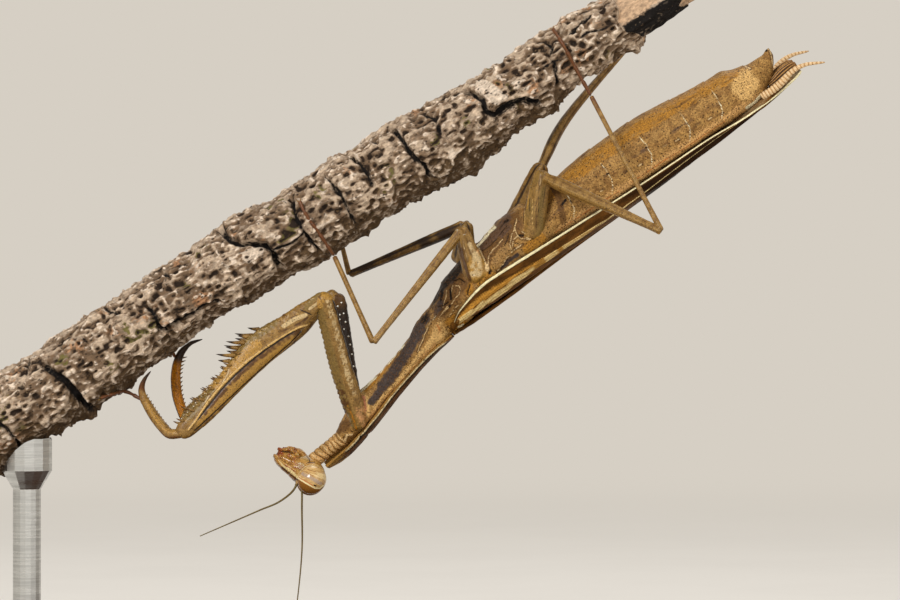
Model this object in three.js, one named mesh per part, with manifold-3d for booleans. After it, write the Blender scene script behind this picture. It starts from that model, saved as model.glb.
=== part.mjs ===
// A female praying mantis (Mantis religiosa, brown form), life size, hanging under a cut length of branch,
// with a plain display stand that holds the branch. Millimetres, +Z up.
// The head points to -X, the tail to +X, and the animal's right side faces -Y.
// The origin is the middle of the underside of the stand's base.
import * as THREE from "three";
import Module from "manifold-3d";
import { LoftGeometry } from "three/addons/geometries/LoftGeometry.js";
import { mergeVertices } from "three/addons/utils/BufferGeometryUtils.js";

const wasm = await Module();
wasm.setup();

// ---- driving dimensions -------------------------------------------------------------------------

const gap = 0.2; // clear space kept between two neighbours
const weld = 1e-4; // points closer than this are one
const wingLayer = 0.65; // one wing's thickness and the space to the wing under it
const feelerRadius = 0.26;

// Sections of the rounded bodies: [along, centre, depth to one side, depth to the other, half width].
// In the trunk the depths are to the belly and to the back, in the head to its rear and to its face.
const pterothoraxSections = [
  [-0.8, 1.2, 1.55, 1.3, 1.5],
  [0.5, 1.4, 1.9, 1.7, 2.2],
  [2.0, 1.6, 2.4, 1.6, 2.8],
  [4.0, 1.9, 2.7, 1.2, 3.2],
  [7.0, 2.2, 2.8, 1.3, 3.4],
  [9.0, 2.3, 3.3, 1.35, 3.5],
  [11.0, 2.3, 3.9, 1.4, 3.5],
  [13.0, 2.3, 3.9, 1.4, 3.4],
  [14.2, 2.3, 3.0, 1.2, 2.9],
];
const abdomenSections = [
  [14.4, 2.4, 2.6, 1.3, 2.7],
  [17.8, 2.4, 4.0, 1.6, 3.5],
  [22.6, 2.4, 4.4, 1.5, 3.85],
  [28.0, 2.4, 4.5, 1.0, 3.9],
  [33.0, 2.4, 4.2, 0.7, 3.75],
  [37.0, 2.45, 3.95, 0.6, 3.3],
  [41.6, 2.9, 2.3, 0.75, 2.2],
  [42.2, 3.1, 1.75, 0.6, 1.7],
];
const ovipositorSections = [
  [42.0, 3.4, 1.5, 1.1, 1.3],
  [42.8, 3.6, 1.45, 1.3, 1.2],
  [43.6, 3.8, 1.1, 0.95, 0.9],
  [44.3, 4.35, 0.8, 0.75, 0.6],
  [44.8, 4.9, 0.45, 0.3, 0.3],
];
const prothoraxSections = [
  [-16.8, 0.35, 0.9, 0.7, 1.1],
  [-15.5, 0.4, 1.15, 0.7, 1.6],
  [-14.0, 0.5, 1.3, 0.75, 2.1],
  [-12.5, 0.7, 1.6, 0.9, 2.3],
  [-11.0, 0.7, 1.5, 0.85, 1.8],
  [-9.0, 0.6, 1.4, 0.7, 1.4],
  [-6.0, 0.6, 1.5, 0.7, 1.35],
  [-3.7, 0.7, 1.75, 0.8, 1.5],
  [-1.5, 1.0, 2.0, 1.0, 1.7],
  [0.0, 1.3, 1.8, 1.2, 1.7],
];
const headSections = [
  [-3.6, -0.6, 0.15, 0.2, 0.45],
  [-3.0, -0.5, 0.3, 0.5, 0.8],
  [-2.4, -0.35, 0.5, 0.9, 1.05],
  [-1.6, -0.1, 1.0, 1.2, 1.35],
  [-0.6, 0.2, 1.5, 1.5, 1.75],
  [0.4, 0.3, 1.65, 1.65, 2.2],
  [1.3, 0.2, 1.6, 1.85, 2.5],
  [2.0, 0.1, 1.2, 1.65, 2.4],
  [2.5, 0.0, 0.7, 1.1, 1.7],
];
const mouthSections = [
  [-3.75, -0.1, 0.25, 0.2, 0.35],
  [-3.3, 0.0, 0.5, 0.5, 0.7],
  [-2.5, 0.3, 0.85, 0.5, 1.0],
  [-1.7, 0.8, 0.7, 0.6, 1.0],
  [-1.0, 1.1, 0.4, 0.4, 0.7],
];
const palp = {
  radius: 0.25,
  path: [[-1.4, 0.9, 0.95], [-2.2, 1.15, 0.95], [-3, 0.95, 0.45], [-3.6, 0.55, 0.05]], // up, out, rearwards
};
const neck = {
  folds: 5,
  crest: 1.0,
  furrow: 0.86,
  path: [[-7.2, 1.2, 29.9], [-8.8, 1.35, 28.7], [-10.4, 1.45, 27.4]],
};
const abdomenSegmentEnds = [17.8, 22.6, 28, 33, 37, 41.6];
const segmentTuck = { share: 0.03, length: 0.25 }; // how much narrower the next segment is, and where

const eye = { up: 1.25, out: 2.2, rear: -0.25, radii: [1.5, 1.5, 1.6], lean: 20 };

// The folded front wings: [along, half width, height of the front edge, depth of the side strip, crest].
const tegmenSections = [
  [-0.6, 1.8, -0.6, 0.3, -1.25],
  [1.5, 3.3, 1.2, 0.9, -1.25],
  [6, 4.3, 2.5, 1.3, -1.2],
  [15, 4.5, 2.3, 1.35, -0.75],
  [25, 4.5, 2.0, 1.3, -0.4],
  [33, 4.1, 1.95, 1.2, 0.25],
  [38, 3.4, 1.5, 0.6, 0.45],
  [42, 2.4, 1.1, 0.25, 0.65],
  [45, 1.3, 1.15, 0.15, 0.85],
  [46.2, 0.5, 1.25, 0.1, 1.1],
];
const tegmenStations = [-0.6, 0.5, 2, 4, 8, 15, 22, 28, 33, 38, 42, 45, 46.2];
const tegmen = {
  thickness: 0.5,
  roofPoints: 5,
  upperPast: 1.5, // how far past the middle the upper wing's roof reaches
  lowerPast: 1.1,
  roofPower: 2.4, // the roof is flat at first and falls ever faster
  ribShare: 0.965, // where the rib lies, as a share of the half width
  ribLean: 0.6, // how much further in the rib of a low side strip lies
  fullWidth: 2.4, // towards the tip, below this half width, what passes the middle shrinks
  dipEnds: [2.1, 3], // the lower wing comes out from under the upper one between these places across
};
// The hind wings' folded tips, past the end of the abdomen: sections like those of the trunk.
const hindwingSections = [
  [42.4, 1.95, 0.3, 0.3, 0.35],
  [43.2, 2.05, 0.45, 0.4, 0.5],
  [44.4, 2.2, 0.6, 0.45, 0.5],
  [45.5, 2.3, 0.5, 0.4, 0.4],
  [46.1, 2.3, 0.2, 0.2, 0.2],
];
const hindwingOut = 0.65; // how far each folded tip lies from the middle

// The pronotum, a saddle over the prothorax: [along, half width, height of the edge, height of the keel].
const pronotumSections = [
  [-20.3, 0.9, -0.6, -1.0],
  [-18.8, 1.6, -0.35, -1.5],
  [-17, 2.1, -0.5, -1.8],
  [-14.8, 2.6, -0.4, -1.75],
  [-12.6, 2.8, -0.19, -1.65],
  [-10, 2.0, -0.04, -1.4],
  [-7.5, 1.7, 0.1, -1.25],
  [-5, 1.7, 0, -1.3],
  [-2.8, 1.8, -0.2, -1.2],
  [-0.6, 1.9, -0.48, -1.1],
];
const pronotum = { thickness: 0.55, points: 6, roundness: 1.6 };

// Limb segments: [share of the length, half depth, half width, shift of the centre towards the bend].
const foreCoxa = [
  [0, 1.35, 0.9, 0],
  [0.12, 1.25, 0.95, 0],
  [0.5, 1.05, 0.8, 0],
  [0.85, 0.9, 0.7, 0],
  [0.98, 0.75, 0.62, 0],
  [1.04, 0.4, 0.35, 0],
];
const foreFemur = [
  [-0.03, 0.7, 0.5, 0.55],
  [0.05, 0.85, 0.55, 0.65],
  [0.12, 1.05, 0.7, 0.75],
  [0.22, 1.45, 0.85, 0.7],
  [0.42, 1.8, 0.95, 1.0],
  [0.55, 1.55, 0.9, 0.75],
  [0.7, 1.3, 0.8, 0.35],
  [0.87, 1.15, 0.7, 0.05],
  [0.97, 1.0, 0.65, 0.05],
  [1.02, 0.6, 0.5, 0.05],
];
const foreTibia = [
  [0, 0.55, 0.45, 0],
  [0.1, 0.62, 0.5, 0],
  [0.35, 0.6, 0.45, 0],
  [0.6, 0.5, 0.4, 0],
  [0.72, 0.36, 0.32, 0],
  [0.88, 0.24, 0.22, 0],
  [1, 0.07, 0.07, 0],
];
const midCoxa = [
  [-0.05, 1.5, 1.2, 0],
  [0.3, 1.2, 1.0, 0],
  [0.7, 0.9, 0.8, 0],
  [0.98, 0.72, 0.65, 0],
  [1.08, 0.4, 0.38, 0],
];
const hindCoxa = [
  [-0.05, 1.3, 1.1, 0],
  [0.3, 1.15, 1.1, 0],
  [0.7, 1.0, 0.95, 0],
  [1, 0.8, 0.75, 0],
  [1.1, 0.45, 0.45, 0],
];
const midFemur = [
  [0, 0.55, 0.5, 0],
  [0.08, 0.5, 0.42, 0],
  [0.2, 0.5, 0.42, 0],
  [0.6, 0.4, 0.34, 0],
  [0.94, 0.33, 0.3, 0],
  [1, 0.36, 0.32, 0],
];
const hindFemur = [
  [0, 0.62, 0.55, 0],
  [0.05, 0.55, 0.48, 0],
  [0.15, 0.7, 0.56, 0],
  [0.5, 0.58, 0.45, 0],
  [0.93, 0.4, 0.34, 0],
  [1, 0.45, 0.36, 0],
];
const walkingTibia = [
  [0, 0.36, 0.32, 0],
  [0.06, 0.34, 0.3, 0],
  [0.5, 0.3, 0.28, 0],
  [0.95, 0.3, 0.28, 0],
  [1, 0.26, 0.26, 0],
];
const tarsus = { thick: 0.3, thin: 0.25, segments: 5, liftOffBark: 0.12 };

// Spines and teeth: each cone starts inside what it grows from.
const spine = { radius: 0.17, sides: 4, sunk: 0.5, rootDepth: 0.1 };
const thighSpines = {
  face: [-0.67, -0.1, 0.74], // the way the front thigh's spiny face looks
  pairs: 7,
  from: 0.5,
  to: 0.93,
  stagger: 0.025,
  sideways: 0.62,
  spread: 0.3,
  lengths: [1.15, 0.75],
  slant: 0.3,
};
const longSpines = {
  from: 0.45,
  step: 0.055,
  lengths: [1.6, 2.3, 2.1, 1.4],
  sideways: [-0.1, 0.3],
  slant: 0.5,
};
const shinTeeth = { count: 8, from: 0.16, to: 0.66, length: 0.55, slant: 0.3, radius: 0.13 };
const shinCurve = { bellyAt: 0.55, bellyOut: -0.7, crookAt: 0.4, crookOut: -0.6 };

// The branch: the middle of its axis, and [along, radius above, radius below] from its lower end.
const branch = { middle: [-8.4, -2, 54.6], pitch: 32.7, halfLength: 47.5, sides: 14, step: 2.8 };
const barkRadii = [
  [-48, 4.1, 4.3],
  [-40, 4.1, 4.4],
  [-28, 4.2, 4.5],
  [-24, 4.2, 3.8],
  [-18, 4.2, 3.2],
  [-9, 4.7, 3.7],
  [-4, 4.2, 4.1],
  [1, 4.2, 4.2],
  [9, 4.1, 4.0],
  [13, 3.7, 4.7],
  [16, 3.5, 4.5],
  [20, 3.6, 3.7],
  [25, 3.5, 3.9],
  [31, 3.5, 3.1],
  [37.5, 3.2, 3.1],
];
const barkEnd = 37.5; // past here the bark is gone and the bare wood shows
const bareWoodRadius = 2.35;
const barkPlate = { length: 7, relief: 0.22, level: 0.6, twist: 0.9 };
const barkFurrow = { count: 5, drift: 0.25, depth: 0.35 };

// The stand.
const base = { length: 106, width: 56, thickness: 6, corner: 5, chamfer: 0.8 };
const rod = { x: -41, y: -2, radius: 1.5, foot: 4, footHeight: 1.4, top: 31.5 };
const cup = { radius: 2.7, from: 24.5, cone: 2 }; // the rod's wider top, which holds the branch

// Where the parts of the body stand: position, and turns in degrees about Y (pitch), Z (yaw) and X (roll).
const pose = {
  hindBody: { position: [4.3, 0, 42.6], pitch: 34, yaw: 0, roll: 15 },
  foreBody: { position: [4.3, 0, 42.04], pitch: 47, yaw: -5, roll: 15 },
  head: { position: [-11.5, 1.5, 26.24], pitch: -38.7, yaw: 0, roll: -6 },
};

// The joints of each leg, and the places its foot takes on the branch: [along it, degrees round it].
// A bowed femur has a place on the way, and stoutness widens a femur that is broader than its fellow.
const legPose = {
  fore_right: {
    hip: [-5.8, -1.0, 31.6],
    trochanter: [-9.0, -5.2, 44.4],
    knee: [-24.1, -7.4, 30.6],
    ankle: [-28.7, -3.4, 34.0],
    clawTip: [-27.6, -2.6, 37.4],
    toes: [[-29.1, 170], [-30.2, 153], [-31.7, 144]],
  },
  fore_left: {
    hip: [-6.3, 2.4, 31.8],
    trochanter: [-7.9, -0.4, 44.7],
    knee: [-24.2, 1.5, 31.7],
    ankle: [-25.2, 2.6, 38.5],
    clawTip: [-22.6, 1.8, 40.6],
    toes: [[-22.8, 233], [-23.0, 260], [-24.5, 267]],
  },
  mid_right: {
    hip: [7.3, -3.0, 46.9],
    trochanter: [5.5, -4.6, 52.1],
    knee: [-3.8, -8.6, 40.2],
    ankle: [-8.0, -5.2, 49.4],
    toes: [[-2.5, 110], [-2.6, 80], [-2.4, 58]],
  },
  mid_left: {
    hip: [5.8, 2.2, 48.8],
    trochanter: [6.0, -0.6, 52.8],
    knee: [-6.7, 6.6, 47.5],
    ankle: [-8.6, 3.2, 55.6],
    stoutness: 1.25,
    toes: [[-1.1, 285], [-3.3, 287], [-5.4, 286]],
  },
  hind_right: {
    hip: [12.9, -3.2, 51.3],
    trochanter: [14.1, -4.4, 57.9],
    knee: [26.3, -14.6, 51.9],
    ankle: [19.3, -5.2, 66.4],
    toes: [[29.9, 119], [30.1, 73], [30.2, 28]],
  },
  hind_left: {
    hip: [11.5, 2.0, 53.2],
    trochanter: [14.0, -1.0, 58.8],
    bow: [16.4, 1.6, 63.6],
    knee: [23.9, 6.6, 72.7],
    ankle: [8.6, 3.0, 64.4],
    toes: [[17.9, 265], [15.5, 267], [13.4, 267]],
  },
};
const feelerPath = {
  right: [[-12, 0.6, 25.3], [-12.6, 0, 24.2], [-14, -1.2, 23.1], [-16, -3.4, 22.3], [-22, -10, 19.9]],
  left: [[-11.6, 2.2, 24.6], [-11.7, 2.2, 22], [-11.7, 2.3, 17.7], [-12.2, 2.4, 12.3], [-12.8, 2.6, 8.2]],
};

// The tail feelers in the hind body's frame, for the left side: [along, out, towards the belly].
const cercusPath = [
  [40.9, 2.2, 1.75],
  [43, 2.5, 1.85],
  [45.2, 2.9, 2.4],
  [46.6, 3.2, 2.3],
  [48.5, 3.8, 1.45],
];
const cercus = { rootRadius: 0.42, tipRadius: 0.25, rings: 14, crest: 1.06, furrow: 0.98 };

const colours = {
  abdomen: "#b08a55",
  thorax: "#6d5536",
  pronotum: "#6b4e22",
  skin: "#d9a878",
  head: "#c29c58",
  mouth: "#7a2e14",
  eye: "#c8a870",
  feeler: "#7a6a3a",
  tegmen: "#5a3c1a",
  hindwing: "#6e4424",
  cercus: "#d2a87c",
  leg: "#9a7448",
  darkLeg: "#4a2a12",
  tibia: "#b87418",
  tarsus: "#6e3a1e",
  bark: "#a79486",
  wood: "#3a2418",
  metal: "#b8b8b4",
};

// ---- frames and shapes --------------------------------------------------------------------------

const mantis = new THREE.Group();
const { clamp, degToRad, lerp, smoothstep } = THREE.MathUtils;

// A group that a part of the body is built in.
function frameOf({ position, pitch = 0, yaw = 0, roll = 0 }) {
  const group = new THREE.Group();
  group.position.set(...position);
  group.rotation.set(degToRad(roll), degToRad(-pitch), degToRad(yaw), "YZX");
  mantis.add(group);
  group.updateMatrixWorld(true);
  return group;
}

// In both body frames X runs tailwards, Y to the animal's left and Z to its belly.
// In the head's frame X runs from the mouth to the crown, Y to the left and Z to the rear.
const hindBody = frameOf(pose.hindBody);
const foreBody = frameOf(pose.foreBody);
const head = frameOf(pose.head);
const perch = frameOf({ position: branch.middle, pitch: branch.pitch });
const floor = frameOf({ position: [0, 0, 0] });

// The values of a table of sections at any place along it.
function tableAt(table, along) {
  let i = 1;
  while (i < table.length - 1 && table[i][0] < along) i++;
  const [start, end] = [table[i - 1], table[i]];
  const share = clamp((along - start[0]) / (end[0] - start[0]), 0, 1);
  return start.map((value, k) => lerp(value, end[k], share));
}

// A three.js geometry as a solid in the model's own frame.
function solidOf(geometry, frame = floor) {
  const bare = new THREE.BufferGeometry();
  bare.setAttribute("position", geometry.getAttribute("position"));
  bare.setIndex(geometry.getIndex());
  bare.applyMatrix4(frame.matrixWorld);
  const merged = mergeVertices(bare, weld);
  const mesh = new wasm.Mesh({
    numProp: 3,
    vertProperties: merged.attributes.position.array,
    triVerts: new Uint32Array(merged.index.array),
  });
  return new wasm.Manifold(mesh);
}

function loft(rings, frame) {
  return solidOf(new LoftGeometry(rings, { capStart: true, capEnd: true }), frame);
}

// A rounded closed section: one depth to either side of its centre line, and a half width.
function sectionRing([along, centre, over, under, halfWidth], grow, sides, squareness) {
  const ring = [];
  for (let i = 0; i < sides; i++) {
    const angle = (2 * Math.PI * i) / sides;
    const [c, s] = [Math.cos(angle), Math.sin(angle)];
    const across = Math.sign(c) * Math.abs(c) ** (2 / squareness) * (halfWidth + grow);
    const depth = (s > 0 ? over : under) + grow;
    const up = Math.sign(s) * Math.abs(s) ** (2 / squareness) * depth;
    ring.push(new THREE.Vector3(along, across, centre + up));
  }
  return ring;
}

// A body through a table of sections, made larger all round by grow.
function roundedBody(table, frame, grow, { sides = 16, squareness = 2.2 } = {}) {
  const rings = table.map(([along, ...sizes], i) => {
    const place = along + endShift(i, table.length, grow);
    return sectionRing([place, ...sizes], grow, sides, squareness);
  });
  return loft(rings, frame);
}

// How far the ring at each end of a loft moves outwards when the loft is grown.
function endShift(i, count, grow) {
  if (i === 0) return -grow;
  return i === count - 1 ? grow : 0;
}

// A closed section of a plate: a curve across its outer face, and the same curve set in by its thickness.
function plateRing(along, curve, thickness, grow, side = 1) {
  const last = curve.length - 1;
  const [outer, inner] = [[], []];
  curve.forEach(([across, height], i) => {
    const [from, to] = [curve[Math.max(i - 1, 0)], curve[Math.min(i + 1, last)]];
    const run = new THREE.Vector2(to[0] - from[0], to[1] - from[1]).normalize();
    const slide = endShift(i, curve.length, grow);
    const place = new THREE.Vector2(across, height).addScaledVector(run, slide);
    const inwards = new THREE.Vector2(-run.y, run.x);
    outer.push(place.clone().addScaledVector(inwards, -grow));
    inner.push(place.addScaledVector(inwards, thickness + grow));
  });
  const ring = [...outer, ...inner.reverse()].map(({ x, y }) => new THREE.Vector3(along, side * x, y));
  return side > 0 ? ring : ring.reverse();
}

// A limb along a smooth path: each section stands square to it, with its depth towards bend.
function limb(points, table, grow, { bend = [0, 0, 1], sides = 8 } = {}) {
  const path = new THREE.CatmullRomCurve3(points.map((p) => new THREE.Vector3(...p)));
  const length = path.getLength();
  const rings = table.map(([share, depth, width, lift], i) => {
    const at = clamp(share, 0, 1);
    const along = path.getTangentAt(at);
    const beyond = (share - at) * length + endShift(i, table.length, grow);
    const centre = path.getPointAt(at).addScaledVector(along, beyond);
    const deep = new THREE.Vector3(...bend);
    deep.addScaledVector(along, -deep.dot(along)).normalize();
    const wide = deep.clone().cross(along);
    centre.addScaledVector(deep, lift);
    return Array.from({ length: sides }, (_, k) => {
      const angle = (2 * Math.PI * k) / sides;
      return centre
        .clone()
        .addScaledVector(wide, Math.cos(angle) * (width + grow))
        .addScaledVector(deep, Math.sin(angle) * (depth + grow));
    });
  });
  return loft(rings);
}

// A pointed spine from its root to its tip, with the root sunk into what it grows from.
function spike(root, tip, radius = spine.radius) {
  const direction = tip.clone().sub(root);
  const length = direction.length() + spine.sunk;
  const cone = new THREE.ConeGeometry(radius, length, spine.sides);
  cone.translate(0, length / 2 - spine.sunk, 0);
  const turn = new THREE.Quaternion();
  turn.setFromUnitVectors(THREE.Object3D.DEFAULT_UP, direction.normalize());
  cone.applyQuaternion(turn);
  cone.translate(...root);
  return solidOf(cone);
}

// ---- nodes --------------------------------------------------------------------------------------

const shapes = {}; // each node's shape as a function of how much it is grown, to cut its neighbours with

// Adds a node to its frame, clear of the neighbours named.
function addPart(name, frame, colour, shape, neighbours = [], { roughness = 0.55, metalness = 0 } = {}) {
  shapes[name] = shape;
  let solid = shape(0);
  for (const neighbour of neighbours) solid = solid.subtract(shapes[neighbour](gap));
  const pieces = solid.decompose().sort((a, b) => b.volume() - a.volume());
  const { vertProperties, triVerts } = pieces[0].getMesh();
  const geometry = new THREE.BufferGeometry();
  geometry.setAttribute("position", new THREE.BufferAttribute(vertProperties, 3));
  geometry.setIndex(new THREE.BufferAttribute(triVerts, 1));
  geometry.applyMatrix4(frame.matrixWorld.clone().invert());
  geometry.computeVertexNormals();
  const material = new THREE.MeshStandardMaterial({ color: colour, roughness, metalness });
  const mesh = new THREE.Mesh(geometry, material);
  mesh.name = name;
  frame.add(mesh);
}

// ---- branch and stand ---------------------------------------------------------------------------

// The branch's radius without its relief, at a turn from its upper side.
function smoothRadius(along, turn) {
  const [, above, below] = tableAt(barkRadii, along);
  return lerp(below, above, (1 + Math.cos(turn)) / 2);
}

// The bark's radius: plates parted by cracks across the branch, with shallow furrows along it.
function barkRadius(along, turn) {
  if (along > barkEnd) return bareWoodRadius;
  const plate = Math.sin((Math.PI * along) / barkPlate.length + barkPlate.twist * Math.sin(turn));
  const furrow = barkFurrow.depth * Math.cos(barkFurrow.count * turn + barkFurrow.drift * along);
  return smoothRadius(along, turn) + barkPlate.relief * (Math.abs(plate) - barkPlate.level + furrow);
}

function branchShape(grow) {
  const stations = [];
  const steps = Math.round((barkEnd + branch.halfLength) / branch.step);
  for (let i = 0; i <= steps; i++) stations.push(lerp(-branch.halfLength, barkEnd, i / steps));
  stations.push(barkEnd + 0.1, branch.halfLength);
  const rings = stations.map((along) =>
    Array.from({ length: branch.sides }, (_, k) => {
      const turn = (2 * Math.PI * k) / branch.sides;
      const radius = barkRadius(along, turn) + grow;
      return new THREE.Vector3(along, -radius * Math.sin(turn), radius * Math.cos(turn));
    }),
  );
  return loft(rings, perch);
}

// A place beside the bark, in the model's frame.
function onBark([along, degrees], lift) {
  const turn = degToRad(degrees);
  const radius = smoothRadius(along, turn) + lift;
  const place = new THREE.Vector3(along, -radius * Math.sin(turn), radius * Math.cos(turn));
  return place.applyMatrix4(perch.matrixWorld).toArray();
}

function baseShape() {
  const [x, y, r] = [base.length / 2 - base.chamfer, base.width / 2 - base.chamfer, base.corner];
  const outline = new THREE.Shape();
  outline.absarc(x - r, y - r, r, 0, Math.PI / 2);
  outline.absarc(r - x, y - r, r, Math.PI / 2, Math.PI);
  outline.absarc(r - x, r - y, r, Math.PI, 1.5 * Math.PI);
  outline.absarc(x - r, r - y, r, 1.5 * Math.PI, 2 * Math.PI);
  const plate = new THREE.ExtrudeGeometry(outline, {
    depth: base.thickness - 2 * base.chamfer,
    bevelThickness: base.chamfer,
    bevelSize: base.chamfer,
    bevelSegments: 1,
    curveSegments: 4,
  });
  plate.translate(0, 0, base.chamfer);
  return solidOf(plate);
}

function rodShape() {
  const profile = [
    [0, base.thickness],
    [rod.foot, base.thickness],
    [rod.foot, base.thickness + rod.footHeight / 2],
    [rod.radius, base.thickness + rod.footHeight],
    [rod.radius, cup.from],
    [cup.radius, cup.from + cup.cone],
    [cup.radius, rod.top],
    [0, rod.top],
  ].map(([radius, height]) => new THREE.Vector2(radius, height));
  const lathe = new THREE.LatheGeometry(profile, 16);
  lathe.rotateX(Math.PI / 2);
  lathe.translate(rod.x, rod.y, 0);
  return solidOf(lathe);
}

addPart("branch", perch, colours.bark, branchShape, [], { roughness: 0.95 });
addPart("stand_base", floor, colours.wood, baseShape, [], { roughness: 0.4 });
addPart("stand_rod", floor, colours.metal, rodShape, ["branch"], { roughness: 0.3, metalness: 1 });

// ---- trunk --------------------------------------------------------------------------------------

// The abdomen's segments, each tucked a little into the one before it.
function abdomenShape(grow) {
  const first = abdomenSections[0];
  const table = [first];
  for (const end of abdomenSegmentEnds) {
    table.push(tableAt(abdomenSections, end));
    const [along, centre, ...sizes] = tableAt(abdomenSections, end + segmentTuck.length);
    table.push([along, centre, ...sizes.map((size) => size * (1 - segmentTuck.share))]);
  }
  table.push(abdomenSections.at(-1));
  return roundedBody(table, hindBody, grow, { sides: 16 });
}

function neckShape(grow) {
  const table = [];
  for (let i = 0; i <= 2 * neck.folds; i++) {
    const radius = i % 2 ? neck.crest : neck.furrow;
    table.push([i / (2 * neck.folds), radius, radius, 0]);
  }
  return limb(neck.path, table, grow, { sides: 8 });
}

// The shape of a plain rounded body, for any of the tables above.
function bodyShape(table, frame) {
  return (grow) => roundedBody(table, frame, grow);
}

addPart("pterothorax", hindBody, colours.thorax, bodyShape(pterothoraxSections, hindBody));
addPart("prothorax", foreBody, colours.skin, bodyShape(prothoraxSections, foreBody), ["pterothorax"]);

// ---- head ---------------------------------------------------------------------------------------

function eyeShape(side) {
  return (grow) => {
    const ball = new THREE.SphereGeometry(1, 12, 7);
    ball.scale(...eye.radii.map((radius) => radius + grow));
    ball.rotateZ(degToRad(-side * eye.lean));
    ball.translate(eye.up, side * eye.out, eye.rear);
    return solidOf(ball, head);
  };
}

// The jaws between the lip and the two jointed palps.
function mouthShape(grow) {
  let solid = roundedBody(mouthSections, head, grow, { sides: 10 });
  for (const side of [-1, 1]) {
    const places = palp.path.map(([up, out, rear]) => new THREE.Vector3(up, side * out, rear));
    const points = places.map((place) => head.localToWorld(place).toArray());
    const table = [0, 0.35, 0.7, 1].map((share) => [share, palp.radius, palp.radius, 0]);
    solid = solid.add(limb(points, table, grow, { sides: 5 }));
  }
  return solid;
}

function feelerShape(side) {
  const steps = 11;
  return (grow) => {
    const table = [];
    for (let i = 0; i <= steps; i++) {
      const radius = i < 2 ? feelerRadius * 1.25 : feelerRadius;
      table.push([i / steps, radius, radius, 0]);
    }
    return limb(feelerPath[side], table, grow, { bend: [1, 0, 0.3], sides: 6 });
  };
}

const bothSides = [["left", 1], ["right", -1]];
for (const [name, side] of bothSides)
  addPart(`eye_${name}`, head, colours.eye, eyeShape(side), [], { roughness: 0.15 });
const eyes = ["eye_left", "eye_right"];
addPart("head", head, colours.head, bodyShape(headSections, head), eyes);
addPart("mouthparts", head, colours.mouth, mouthShape, ["head", ...eyes], { roughness: 0.25 });
for (const [name] of bothSides)
  addPart(`antenna_${name}`, head, colours.feeler, feelerShape(name), ["head", `eye_${name}`]);

// The pronotum's saddle, from edge to edge over its keel.
function pronotumShape(grow) {
  const rings = pronotumSections.map(([along, halfWidth, edge, keel], i) => {
    const curve = [];
    for (let k = 0; k <= pronotum.points; k++) {
      const across = lerp(-1, 1, k / pronotum.points);
      curve.push([across * halfWidth, lerp(keel, edge, Math.abs(across) ** pronotum.roundness)]);
    }
    return plateRing(along + endShift(i, pronotumSections.length, grow), curve, pronotum.thickness, grow);
  });
  return loft(rings, foreBody);
}

addPart("pronotum", foreBody, colours.pronotum, pronotumShape, ["prothorax", "pterothorax", "head"]);
addPart("neck", foreBody, colours.skin, neckShape, ["head", "prothorax", "pronotum", ...eyes]);

// ---- legs ---------------------------------------------------------------------------------------

// A tarsus: five short joints, each thickest at its far end.
function tarsusShape(start, toes) {
  const points = [start, ...toes.map((toe) => onBark(toe, tarsus.thick + tarsus.liftOffBark))];
  return (grow) => {
    const table = [];
    for (let i = 0; i < tarsus.segments; i++) {
      table.push([(i + 0.05) / tarsus.segments, tarsus.thin, tarsus.thin, 0]);
      table.push([(i + 0.85) / tarsus.segments, tarsus.thick, tarsus.thick, 0]);
    }
    return limb(points, table, grow, { sides: 5, bend: [0.3, -1, 0.2] });
  };
}

// A front thigh with a row of spines along each side of its spiny face and four long ones between.
function foreFemurShape({ trochanter, knee }) {
  return (grow) => {
    let solid = limb([trochanter, knee], foreFemur, grow, { bend: thighSpines.face, sides: 12 });
    if (grow > 0) return solid;
    const [start, end] = [new THREE.Vector3(...trochanter), new THREE.Vector3(...knee)];
    const along = end.clone().sub(start).normalize();
    const out = new THREE.Vector3(...thighSpines.face);
    out.addScaledVector(along, -out.dot(along)).normalize();
    const wide = out.clone().cross(along);
    const grows = (share, sideways, length, slant) => {
      const [, depth, width, lift] = tableAt(foreFemur, share);
      const root = start.clone().lerp(end, share).addScaledVector(wide, sideways * width);
      root.addScaledVector(out, lift + depth * Math.sqrt(1 - sideways * sideways) - spine.rootDepth);
      const tip = root.clone().addScaledVector(out, length);
      tip.addScaledVector(wide, sideways * thighSpines.spread * length);
      tip.addScaledVector(along, slant * length);
      solid = solid.add(spike(root, tip));
    };
    const { pairs, from, to, stagger, sideways, lengths, slant } = thighSpines;
    for (let i = 0; i < pairs; i++) {
      const share = lerp(from, to, i / (pairs - 1));
      grows(share, sideways, lengths[i % 2], slant);
      grows(share + stagger, -sideways, lengths[i % 2], slant);
    }
    longSpines.lengths.forEach((length, i) => {
      const share = longSpines.from + longSpines.step * i;
      grows(share, longSpines.sideways[i % 2], length, longSpines.slant);
    });
    return solid;
  };
}

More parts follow.
